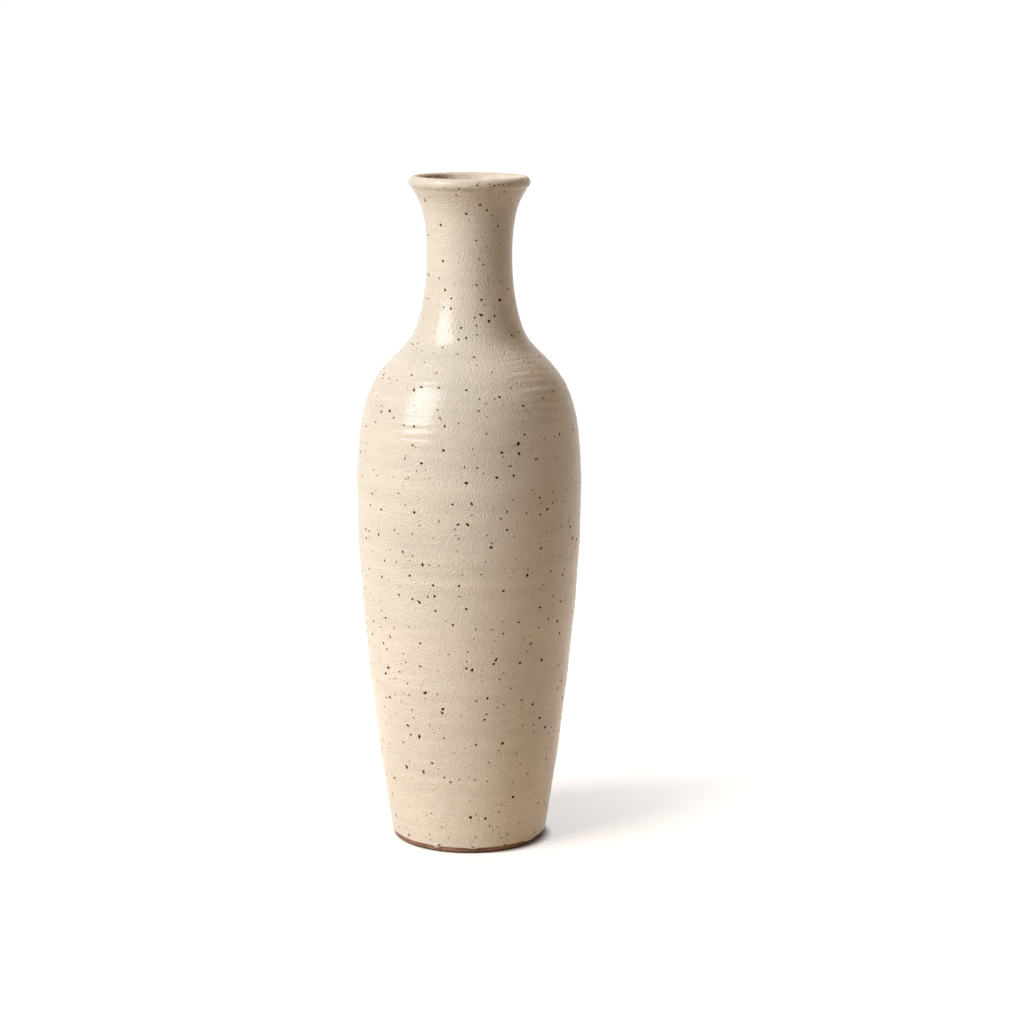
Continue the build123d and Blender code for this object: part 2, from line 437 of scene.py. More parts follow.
@dataclass(frozen=True)
class IronFinish:
    """Iron that has bled up through the glaze, from near black to rust, and paler towards a speck's rim."""

    name: str
    dark_colour: Colour
    rust_colour: Colour
    roughness: float
    rusty_rim: float = 0.75

    BURNT = (2500.0, 2.0)
    BURNT_SPAN = (0.3, 0.7)
    BURNT_SHARE = (-0.15, 0.15)
    RIM_SPAN = (0.6, 1.0)

    def material(self) -> bpy.types.Material:
        """Builds the iron as a node material that reads each speck's own tone and rim.

        Returns:
            The material.
        """
        material, sheet, shader = plain_material(self.name)
        shader.inputs["Roughness"].default_value = self.roughness
        shader.inputs["Specular IOR Level"].default_value = 0.0
        burnt = sheet.noise(sheet.object_place(), *self.BURNT)
        burnt = sheet.remap(burnt, *self.BURNT_SPAN, *self.BURNT_SHARE)
        rim = sheet.remap(sheet.painted("rim"), *self.RIM_SPAN, 0.0, self.rusty_rim)
        share = sheet.math("ADD", sheet.painted("tone"), sheet.math("ADD", burnt, rim), clamp=True)
        sheet.feed(shader, "Base Color", sheet.colour_mix(share, self.dark_colour, self.rust_colour))
        return material


def plain_material(name: str) -> tuple[bpy.types.Material, NodeSheet, bpy.types.Node]:
    """Starts a node material.

    Args:
        name: The material's name.

    Returns:
        The material, its nodes and its surface shader.
    """
    material = bpy.data.materials.new(name)
    material.use_nodes = True
    shader = next(n for n in material.node_tree.nodes if n.type == "BSDF_PRINCIPLED")
    return material, NodeSheet(material.node_tree), shader


OATMEAL_GLAZE = GlazeFinish(
    name="speckled_oatmeal_glaze",
    colour=srgb(228, 210, 184),
    # Thin glaze colour, also used as the painted shade inside the mouth.
    thin_glaze_and_shade_colour=srgb(122, 101, 80),
    fleck_colour=srgb(150, 116, 82),
    roughness=0.42,
    gloss=0.5,
    gloss_roughness=0.18,
    flecked=0.6,
    pebble_depth=0.00066,
    skin_depth=0.00004,
)
POURED_LINER = GlazeFinish(
    name="poured_liner_glaze",
    colour=srgb(224, 208, 184),
    thin_glaze_and_shade_colour=srgb(150, 116, 84),
    fleck_colour=srgb(160, 128, 96),
    roughness=0.36,
    gloss=0.5,
    gloss_roughness=0.2,
    flecked=0.35,
    pebble_depth=0.0003,
    skin_depth=0.0001,
)
BARE_STONEWARE = ClayFinish(
    name="bare_stoneware",
    colour=srgb(164, 118, 92),
    dark_colour=srgb(112, 76, 56),
    grog_colour=srgb(190, 150, 122),
    grog_depth=0.0002,
    # The painted contact shade reaches this high up the foot.
    contact_shade_height=1.1 * MM,
)
FIRED_SLIP = ClayFinish(
    name="fired_slip",
    colour=srgb(172, 136, 112),
    dark_colour=srgb(140, 104, 82),
    grog_colour=srgb(186, 152, 128),
    grog_depth=0.00008,
    contact_shade_height=0.1 * MM,
)
BLED_IRON = IronFinish(
    name="bled_iron",
    dark_colour=srgb(30, 15, 4),
    rust_colour=srgb(140, 92, 44),
    roughness=0.5,
)


@dataclass(frozen=True)
class Section:
    """Half section of a revolved CAD node: (radius, height) in order round the wall, outside upwards."""

    points: np.ndarray

    SEAM_REACH = 1e-6
    SHARP_TURN = math.radians(25)

    @classmethod
    def of_node(cls, name: str) -> "Section":
        """Reads the section of a CAD node where its revolved faces start, in the plane y = 0.

        Args:
            name: The CAD node.

        Returns:
            Its section, from the axis back to the axis or from its lowest outer corner all the way round.
        """
        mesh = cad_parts[name].data
        places = np.array([v.co for v in mesh.vertices])
        on_seam = (abs(places[:, 1]) < cls.SEAM_REACH) & (places[:, 0] > -cls.SEAM_REACH)
        beside: dict[tuple, set] = {}
        for edge in mesh.edges:
            if on_seam[list(edge.vertices)].all():
                first, second = (tuple(places[i, [0, 2]].round(6)) for i in edge.vertices)
                if first != second:
                    beside.setdefault(first, set()).add(second)
                    beside.setdefault(second, set()).add(first)
        chains = []
        while beside:
            chains.append(cls.walk(beside))
        path = cls.in_a_row(chains)
        return cls(cls.turned_outwards(path))

    @staticmethod
    def walk(beside: dict[tuple, set]) -> list[tuple]:
        """Takes one unbroken chain of points out of a map of neighbours, from an end where it has one.

        Args:
            beside: The neighbours of each point, which are used up.

        Returns:
            The points of the chain, in order.
        """
        here = next((p for p in beside if len(beside[p]) == 1), next(iter(beside)))
        chain = [here]
        while beside.get(here):
            after = beside[here].pop()
            beside[after].discard(here)
            if not beside[here]:
                del beside[here]
            chain.append(after)
            here = after
        beside.pop(here, None)
        return chain

    @staticmethod
    def in_a_row(chains: list[list[tuple]]) -> np.ndarray:
        """Joins chains end to end, each to the nearest end left, starting nearest the axis.

        Args:
            chains: Unbroken chains of points.

        Returns:
            All their points in one row.
        """
        chains = sorted(chains, key=lambda chain: min(chain[0][0], chain[-1][0]))
        path = chains.pop(0)
        if path[-1][0] < path[0][0]:
            path = path[::-1]
        while chains:
            ends = [
                (math.dist(path[-1], chain[side]), i, side)
                for i, chain in enumerate(chains)
                for side in (0, -1)
            ]
            _, index, side = min(ends)
            chain = chains.pop(index)
            path = path + (chain if side == 0 else chain[::-1])
        return np.array(path)

    @classmethod
    def turned_outwards(cls, path: np.ndarray) -> np.ndarray:
        """Makes a path run up the outside, from the axis or from its lowest outer corner.

        Args:
            path: Points round the section, either way.

        Returns:
            The same points, in the order of this class.
        """
        closed = np.allclose(path[0], path[-1])
        if not closed and path[-1, 0] > cls.SEAM_REACH:
            path = np.vstack([path, (0.0, path[-1, 1])])
        if not closed and path[0, 0] > cls.SEAM_REACH:
            path = np.vstack([(0.0, path[0, 1]), path])
        radius, height = path.T
        if np.sum(radius * np.roll(height, -1) - np.roll(radius, -1) * height) < 0:
            path = path[::-1]
        if closed:
            ring = path[:-1]
            start = int(np.argmax(ring[:, 0] * 0.5 - ring[:, 1]))
            path = np.vstack([np.roll(ring, -start, axis=0), ring[start]])
        return path

    def stretches(self) -> list[np.ndarray]:
        """Cuts the section at its sharp corners.

        Returns:
            The stretches between them, in order.
        """
        steps = np.diff(self.points, axis=0)
        ways = np.arctan2(steps[:, 1], steps[:, 0])
        turns = abs((np.diff(ways) + math.pi) % (2 * math.pi) - math.pi)
        cuts = [0, *(np.nonzero(turns > self.SHARP_TURN)[0] + 1), len(self.points) - 1]
        return [self.points[a : b + 1] for a, b in zip(cuts, cuts[1:])]


def smooth_path(points: np.ndarray, step: float) -> np.ndarray:
    """A smooth curve through points, as many close points.

    Args:
        points: Points (radius, height) on the curve.
        step: How far apart the new points are, about.

    Returns:
        Points along the curve, with its two ends kept.
    """
    if len(points) == 2:
        count = max(2, int(math.dist(*points) / step))
        return np.linspace(points[0], points[1], count + 1)
    way = np.concatenate([[0.0], np.cumsum(np.linalg.norm(np.diff(points, axis=0), axis=1))])
    slopes = np.gradient(points, way, axis=0, edge_order=2)
    dense = np.linspace(0.0, way[-1], max(3, int(way[-1] / step)) + 1)
    span = np.clip(np.searchsorted(way, dense, side="right") - 1, 0, len(way) - 2)
    width = (way[span + 1] - way[span])[:, None]
    t = ((dense - way[span])[:, None]) / width
    first, second = points[span], points[span + 1]
    start, end = slopes[span] * width, slopes[span + 1] * width
    return (
        (2 * t**3 - 3 * t**2 + 1) * first
        + (t**3 - 2 * t**2 + t) * start
        + (3 * t**2 - 2 * t**3) * second
        + (t**3 - t**2) * end
    )


def softened(path: np.ndarray, step: float, reach: np.ndarray) -> np.ndarray:
    """A path whose small bends are smoothed away.

    Args:
        path: Close, evenly spaced points.
        step: How far apart they are.
        reach: At each point, how far along the path the smoothing reaches.

    Returns:
        The smoothed points, with the ends kept.
    """
    levels = (0.0, 1.0 * MM, 3.0 * MM)
    layers = []
    for level in levels:
        half = max(1, int(3 * level / step))
        weights = np.exp(-0.5 * (np.arange(-half, half + 1) * step / max(level, 1e-9)) ** 2)
        weights /= weights.sum()
        before = 2 * path[0] - path[half:0:-1]
        after = 2 * path[-1] - path[-2 : -half - 2 : -1]
        long = np.vstack([before, path, after])
        layers.append([np.convolve(column, weights, "valid") for column in long.T])
    columns = [
        [np.interp(r, levels, here) for r, *here in zip(reach, *(layer[k] for layer in layers))]
        for k in (0, 1)
    ]
    out = np.array(columns).T
    out[0], out[-1] = path[0], path[-1]
    return out


@dataclass
class Rows:
    """The rows of points that are turned about the axis, with what the wheel does to each."""

    place: np.ndarray
    side: np.ndarray

    COVERED_SHARE = 0.15

    @classmethod
    def join(cls, parts: Sequence[tuple[np.ndarray, Side]]) -> "Rows":
        """Makes rows from stretches end to end, each of which starts where the last one ended.

        Args:
            parts: The stretches, each with its side.

        Returns:
            The rows.
        """
        place = [parts[0][0][:1]]
        side = [np.full(1, parts[0][1].value)]
        for path, face in parts:
            place.append(path[1:])
            side.append(np.full(len(path) - 1, face.value))
        return cls(np.vstack(place), np.concatenate(side))

    @property
    def along(self) -> np.ndarray:
        """Unit steps along the section."""
        step = np.gradient(self.place, axis=0)
        return step / np.maximum(np.linalg.norm(step, axis=1), 1e-12)[:, None]

    @property
    def share(self) -> np.ndarray:
        """How far round the section each row lies, with covered stretches drawn short.

        Returns:
            Shares from 0 to 1.
        """
        length = np.linalg.norm(np.diff(self.place, axis=0), axis=1)
        weight = np.where(self.side[1:] > 0, 1.0, self.COVERED_SHARE)
        total = np.concatenate([[0.0], np.cumsum(length * weight)])
        return total / total[-1]


def spaced(path: np.ndarray, gap: Callable[[np.ndarray], np.ndarray]) -> np.ndarray:
    """Points picked along a path so that the gaps follow a rule.

    Args:
        path: Close points (radius, height).
        gap: Gives the gap wanted at each height.

    Returns:
        The picked points, with both ends kept.
    """
    length = np.linalg.norm(np.diff(path, axis=0), axis=1)
    middle = (path[1:, 1] + path[:-1, 1]) / 2
    count = np.concatenate([[0.0], np.cumsum(length / gap(middle))])
    wanted = np.linspace(0.0, count[-1], max(2, int(round(count[-1])) + 1))
    return np.stack([np.interp(wanted, count, path[:, k]) for k in (0, 1)], axis=1)


@dataclass(frozen=True)
class FingerRidge:
    """A ridge that a finger left on the wheel.

    Its height up the wall, how wide and how proud it is, where round from the front it is strongest and how
    far round it reaches either way, in degrees.
    """

    height: float
    width: float
    proud: float
    turn: float
    reach: float


@dataclass(frozen=True)
class EdgeNick:
    """A place where the glaze's lower edge jumps up: degrees round from the front, rise and half width."""

    turn: float
    rise: float
    reach: float


class PieceTree:
    """A geometry node tree with named inputs, which ends in one whole geometry in its material."""

    NAME = ""
    INPUTS: dict[str, str] = {}

    def __init__(self) -> None:
        """Starts the tree with its inputs and its output."""
        self.tree = bpy.data.node_groups.new(self.NAME, "GeometryNodeTree")
        self.sheet = NodeSheet(self.tree)
        kinds = {"Geometry": "Geometry", **self.INPUTS, "Material": "Material"}
        ends = self.tree.interface
        self.sockets = {
            name: ends.new_socket(name, in_out="INPUT", socket_type="NodeSocket" + kind).identifier
            for name, kind in kinds.items()
        }
        ends.new_socket("Geometry", in_out="OUTPUT", socket_type="NodeSocketGeometry")
        self.given = self.sheet.add("NodeGroupInput")

    def input(self, name: str) -> bpy.types.NodeSocket:
        """One of the tree's own inputs."""
        return self.given.outputs[name]

    def stored(self, geometry: Any, domain: str, kind: str, values: dict[str, Any]) -> bpy.types.NodeSocket:
        """Stores named attributes on a geometry.

        Args:
            geometry: What to store them on.
            domain: Blender's name for where they live.
            kind: Blender's name for their type.
            values: The value of each, by its name.

        Returns:
            The geometry with the attributes.
        """
        for name, value in values.items():
            inputs = {"Geometry": geometry, "Name": name, "Value": value}
            node = self.sheet.add("GeometryNodeStoreNamedAttribute", inputs, domain=domain, data_type=kind)
            geometry = self.sheet.out(node)
        return geometry

    def end(self, geometry: Any) -> None:
        """Ends the tree in one whole geometry, smooth and in its material.

        Args:
            geometry: What the tree has made.
        """
        smooth = self.sheet.add("GeometryNodeSetShadeSmooth", {"Geometry": geometry})
        whole = self.sheet.add("GeometryNodeRealizeInstances", {"Geometry": smooth})
        inputs = {"Geometry": whole, "Material": self.input("Material")}
        self.sheet.add("NodeGroupOutput", {"Geometry": self.sheet.add("GeometryNodeSetMaterial", inputs)})

    def made(self, name: str, start: bpy.types.Mesh, values: dict[str, Any]) -> bpy.types.Object:
        """Makes a piece with the tree.

        Args:
            name: The piece's name.
            start: Mesh that the tree starts from.
            values: The tree's inputs, by their names.

        Returns:
            The piece, as a plain mesh.
        """
        piece = bpy.data.objects.new(name, start)
        bpy.context.scene.collection.objects.link(piece)
        modifier = piece.modifiers.new(self.NAME, "NODES")
        modifier.node_group = self.tree
        for key, value in values.items():
            modifier[self.sockets[key]] = value
        return made_plain(piece)


class ThrowingTree(PieceTree):
    """Geometry nodes that turn rows of points about the axis and leave the wheel's marks on them."""

    NAME = "thrown_on_the_wheel"
    INPUTS = {
        "Segments": "Int",
        "Ring height": "Float",
        "Fine ring height": "Float",
        "Ridge height": "Float",
        "Wobble": "Float",
        "Edge swing": "Float",
        "Widest": "Float",
    }
    WEIGHTS = ("ringed", "fine", "edge", "shown", "thin", "share")
    WAVER = 4.0 * MM
    RING_PITCH = 5.5 * MM
    FINE_RING_PITCH = 2.2 * MM
    LUMP_PITCH = 40 * MM
    RELIEF_STEP = 0.1 * MM
    MERGE_REACH = 1e-6
    WAVER_NOISE = (1.1, 1.0)
    RING_NOISE = (1.0, 1.0)
    FINE_RING_NOISE = (1.0,)
    LUMP_NOISE = (0.8, 1.0)
    EDGE_NOISE = (5.0, 5.0, 0.68)
    CREST_SLOPE = 5.0
    CREST_POWER = 2.0
    CREST_SINK = 0.3
    LONG_BELOW = 0.45

    def __init__(self, ridges: Sequence[FingerRidge], nicks: Sequence[EdgeNick]) -> None:
        """Builds the tree.

        Args:
            ridges: Single ridges up the wall.
            nicks: Jumps in the lower edge.
        """
        super().__init__()
        self.build(ridges, nicks)

    def row_value(self, value: Any, row: Any, kind: str) -> bpy.types.NodeSocket:
        """What the profile holds at a row: a number or a vector."""
        inputs = {"Geometry": self.input("Geometry"), "Value": value, "Index": row}
        return self.sheet.out(self.sheet.add("GeometryNodeSampleIndex", inputs, data_type=kind, clamp=True))

    def wound(self, around: Any, rise: Any, pitch: float) -> bpy.types.NodeSocket:
        """A place on a unit drum, where one step up stands for a pitch up the wall."""
        up = self.sheet.math("MULTIPLY", rise, 1.0 / pitch)
        return self.sheet.vector("ADD", around, self.sheet.join(z=up))

    def crest(self, noise: Any) -> bpy.types.NodeSocket:
        """Narrow crests where noise passes its middle, about zero.

        Args:
            noise: Noise from 0 to 1.

        Returns:
            The socket with their height.
        """
        sheet = self.sheet
        off = sheet.math("MULTIPLY", sheet.math("SUBTRACT", noise, 0.5), self.CREST_SLOPE)
        near = sheet.math("SUBTRACT", 1.0, sheet.math("ABSOLUTE", off), clamp=True)
        return sheet.math("SUBTRACT", sheet.math("POWER", near, self.CREST_POWER), self.CREST_SINK)

    def toward(self, around: Any, turn: float, reach: float) -> bpy.types.NodeSocket:
        """How near a place is to a direction.

        Args:
            around: Unit vector from the axis to the place.
            turn: The direction, in degrees round from the front.
            reach: How far round it falls away, in degrees.

        Returns:
            The socket with the share, 1 in that direction.
        """
        sheet = self.sheet
        angle = math.radians(turn - 90)
        facing = sheet.measure("DOT_PRODUCT", around, (math.cos(angle), math.sin(angle), 0.0))
        sharp = 1.0 / (1.0 - math.cos(math.radians(reach)))
        return sheet.math("EXPONENT", sheet.math("MULTIPLY", sheet.math("SUBTRACT", facing, 1.0), sharp))

    def ridge(self, rise: Any, around: Any, ridge: FingerRidge) -> bpy.types.NodeSocket:
        """One finger ridge: steep above, long below, and fading away round the pot.

        Args:
            rise: Height up the wavering wall.
            around: Unit vector from the axis to the place.
            ridge: Which one.

        Returns:
            The socket with its height, in ridge heights.
        """
        sheet = self.sheet
        off = sheet.math("DIVIDE", sheet.math("SUBTRACT", rise, ridge.height), ridge.width)
        above = sheet.math("MAXIMUM", off, 0.0)
        below = sheet.math("MULTIPLY", sheet.math("MINIMUM", off, 0.0), self.LONG_BELOW)
        away = sheet.math("ADD", sheet.math("MULTIPLY", above, above), sheet.math("MULTIPLY", below, below))
        shape = sheet.math("EXPONENT", sheet.math("MULTIPLY", away, -1.0))
        fade = self.toward(around, ridge.turn, ridge.reach)
        return sheet.math("MULTIPLY", sheet.math("MULTIPLY", shape, fade), ridge.proud)

    def marks(self, around: Any, height: Any, weights: dict[str, Any],
              ridges: Sequence[FingerRidge]) -> bpy.types.NodeSocket:
        """Rings, finger ridges and lumps, as a height off the wall.

        Args:
            around: Unit vector from the axis to the place.
            height: Height up the wall.
            weights: How strongly each mark takes there.
            ridges: The single ridges.

        Returns:
            The socket with the height.
        """
        sheet = self.sheet
        waver = sheet.math("SUBTRACT", sheet.noise(around, *self.WAVER_NOISE), 0.5)
        rise = sheet.math("ADD", height, sheet.math("MULTIPLY", waver, self.WAVER))
        broad = self.crest(sheet.noise(self.wound(around, rise, self.RING_PITCH), *self.RING_NOISE))
        broad = sheet.math("MULTIPLY", broad, self.input("Ring height"))
        thread = self.wound(around, rise, self.FINE_RING_PITCH)
        thread = self.crest(sheet.noise(thread, *self.FINE_RING_NOISE))
        thread = sheet.math("MULTIPLY", thread, self.input("Fine ring height"))
        marks = sheet.math("ADD", broad, sheet.math("MULTIPLY", thread, weights["fine"]))
        for one in ridges:
            proud = sheet.math("MULTIPLY", self.ridge(rise, around, one), self.input("Ridge height"))
            marks = sheet.math("ADD", marks, proud)
        marks = sheet.math("MULTIPLY", marks, weights["ringed"])
        lumps = sheet.noise(self.wound(around, height, self.LUMP_PITCH), *self.LUMP_NOISE)
        lumps = sheet.math("SUBTRACT", lumps, 0.5)
        lumps = sheet.math("MULTIPLY", sheet.math("MULTIPLY", lumps, weights["shown"]), self.input("Wobble"))
        return sheet.math("ADD", marks, lumps)

    def swing(self, around: Any, nicks: Sequence[EdgeNick]) -> bpy.types.NodeSocket:
        """How far the lower edge runs up the wall, with its nicks.

        Args:
            around: Unit vector from the axis to the place.
            nicks: The jumps in the edge.

        Returns:
            The socket with the distance.
        """
        sheet = self.sheet
        swing = sheet.math("SUBTRACT", sheet.noise(around, *self.EDGE_NOISE), 0.5)
        swing = sheet.math("MULTIPLY", swing, self.input("Edge swing"))
        for nick in nicks:
            jump = sheet.math("MULTIPLY", self.toward(around, nick.turn, nick.reach), nick.rise)
            swing = sheet.math("ADD", swing, jump)
        return swing

    def build(self, ridges: Sequence[FingerRidge], nicks: Sequence[EdgeNick]) -> None:
        """Lays out the nodes, from the flat grid to the thrown and dressed wall.

        Args:
            ridges: Single ridges up the wall.
            nicks: Jumps in the lower edge.
        """
        sheet = self.sheet
        size = sheet.add("GeometryNodeAttributeDomainSize", {"Geometry": self.input("Geometry")})
        count = sheet.out(size, "Point Count")
        columns = sheet.math("ADD", self.input("Segments"), 1.0)
        corners = {"Size X": 1.0, "Size Y": 1.0, "Vertices X": columns, "Vertices Y": count}
        grid = sheet.add("GeometryNodeMeshGrid", corners)
        flat_x, flat_y, _ = sheet.split(sheet.position())
        round_share = sheet.math("ADD", flat_x, 0.5)
        last = sheet.math("SUBTRACT", count, 1.0)
        row = sheet.math("ROUND", sheet.math("MULTIPLY", sheet.math("ADD", flat_y, 0.5), last))
        radius, _, height = sheet.split(self.row_value(sheet.position(), row, "FLOAT_VECTOR"))
        outwards = sheet.named("outwards", "FLOAT_VECTOR")
        out_r, _, out_z = sheet.split(self.row_value(outwards, row, "FLOAT_VECTOR"))
        weights = {name: self.row_value(sheet.named(name), row, "FLOAT") for name in self.WEIGHTS}
        turn = sheet.math("MULTIPLY", round_share, 2.0 * math.pi)
        around = sheet.join(sheet.math("COSINE", turn), sheet.math("SINE", turn), 0.0)

        marks = self.marks(around, height, weights, ridges)
        shift = sheet.math("MULTIPLY", self.swing(around, nicks), weights["edge"])
        inwards = sheet.math("MULTIPLY", out_z, -1.0)
        new_r = sheet.math("ADD", radius, sheet.math("MULTIPLY", out_r, marks))
        new_r = sheet.math("ADD", new_r, sheet.math("MULTIPLY", inwards, shift))
        new_r = sheet.math("MINIMUM", new_r, self.input("Widest"))
        new_z = sheet.math("ADD", height, sheet.math("MULTIPLY", out_z, marks))
        new_z = sheet.math("ADD", new_z, sheet.math("MULTIPLY", out_r, shift))
        place = sheet.vector("ADD", sheet.scaled(around, new_r), sheet.join(z=new_z))

        thrown = sheet.out(grid, "Mesh")
        unrolled = sheet.join(round_share, weights["share"], 0.0)
        thrown = self.stored(thrown, "CORNER", "FLOAT2", {BAKE_MAP: unrolled})
        thrown = self.stored(thrown, "POINT", "FLOAT", {
            "relief": sheet.math("DIVIDE", marks, self.RELIEF_STEP),
            "shown": weights["shown"],
            "thin": weights["thin"],
        })
        thrown = sheet.add("GeometryNodeSetPosition", {"Geometry": thrown, "Position": place})
        self.end(sheet.add("GeometryNodeMergeByDistance", {"Geometry": thrown, "Distance": self.MERGE_REACH}))


def made_plain(piece: bpy.types.Object) -> bpy.types.Object:
    """Turns a piece's evaluated shape into its own plain mesh and takes its modifiers off.

    Args:
        piece: Object with geometry nodes on it.

    Returns:
        The same object, with the shape in its mesh.
    """
    shaped = piece.evaluated_get(bpy.context.evaluated_depsgraph_get())
    mesh = bpy.data.meshes.new_from_object(shaped)
    piece.modifiers.clear()
    before = piece.data
    piece.data = mesh
    mesh.name = piece.name
    bpy.data.meshes.remove(before)
    return piece


def declared(piece: bpy.types.Object, slot: Slot, *nodes: str) -> bpy.types.Object:
    """Rides a piece on the vase's one body, hides the CAD nodes that it replaces, and logs its triangles and
    slot.

    Args:
        piece: The finished piece.
        slot: The material slot that the piece takes.
        nodes: CAD nodes that the piece replaces.

    Returns:
        The same piece.
    """
    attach(piece, BODY)
    if nodes:
        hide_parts(*nodes)
    faces = sum(len(p.vertices) - 2 for p in piece.data.polygons)
    LOG.info("%s: %d triangles, %s", piece.name, faces, slot.value)
    return piece


@dataclass
class ThrownPiece:
    """A piece that is turned on the wheel: the section it follows and how its surface is left."""

    name: str
    node: str
    slot: Slot
    finish: Any
    segments: int
    ring_height: float = 0.0
    fine_ring_height: float = 0.0
    ridge_height: float = 0.0
    wobble: float = 0.0
    edge_swing: float = 0.0
    ridges: Sequence[FingerRidge] = ()
    nicks: Sequence[EdgeNick] = ()
    widest: float = 1.0

    STEP = 0.1 * MM

    def rows(self) -> Rows:
        """The rows to turn, from the CAD node's section."""
        raise NotImplementedError

    def weights(self, rows: Rows) -> dict[str, np.ndarray]:
        """How strongly each of the wheel's marks takes on each row."""
        none = np.zeros(len(rows.place))
        return {"ringed": none, "fine": none, "edge": none, "thin": none}

    def profile(self, rows: Rows) -> bpy.types.Mesh:
        """A mesh of loose points, one for each row, that carries the rows' attributes.

        Args:
            rows: The rows to turn.

        Returns:
            The mesh that the geometry nodes read.
        """
        mesh = bpy.data.meshes.new(self.name + "_rows")
        radius, height = rows.place.T
        mesh.from_pydata(np.stack([radius, 0 * radius, height], 1).tolist(), [], [])
        way_r, way_z = rows.along.T
        outwards = mesh.attributes.new("outwards", "FLOAT_VECTOR", "POINT")
        facing = np.stack([way_z, 0 * way_z, -way_r], 1).astype(np.float32)
        outwards.data.foreach_set("vector", facing.ravel())
        for name, value in {**self.weights(rows), "shown": rows.side, "share": rows.share}.items():
            mesh.attributes.new(name, "FLOAT", "POINT").data.foreach_set("value", value.astype(np.float32))
        return mesh

    def build(self) -> bpy.types.Object:
        """Turns the rows about the axis and dresses the piece.

        Returns:
            The finished piece, declared to the frame.
        """
        throwing = ThrowingTree(self.ridges, self.nicks)
        piece = throwing.made(self.name, self.profile(self.rows()), {
            "Segments": self.segments,
            "Ring height": self.ring_height,
            "Fine ring height": self.fine_ring_height,
            "Ridge height": self.ridge_height,
            "Wobble": self.wobble,
            "Edge swing": self.edge_swing,
            "Widest": self.widest,
            "Material": self.finish.material(),
        })
        return declared(piece, self.slot, self.node)


def ramp(value: np.ndarray, start: float, end: float) -> np.ndarray:
    """Eased step from 0 at start to 1 at end, which may lie below start."""
    share = np.clip((value - start) / (end - start), 0.0, 1.0)
    return share * share * (3 - 2 * share)


def hump(value: np.ndarray, middle: float, width: float) -> np.ndarray:
    """Rounded hump, 1 at its middle and falling away over a width."""
    return np.exp(-(((value - middle) / width) ** 2))


def evenly(gap: float) -> Callable[[np.ndarray], np.ndarray]:
    """Rule that keeps one gap at every height."""
    return lambda height: np.full_like(height, gap)


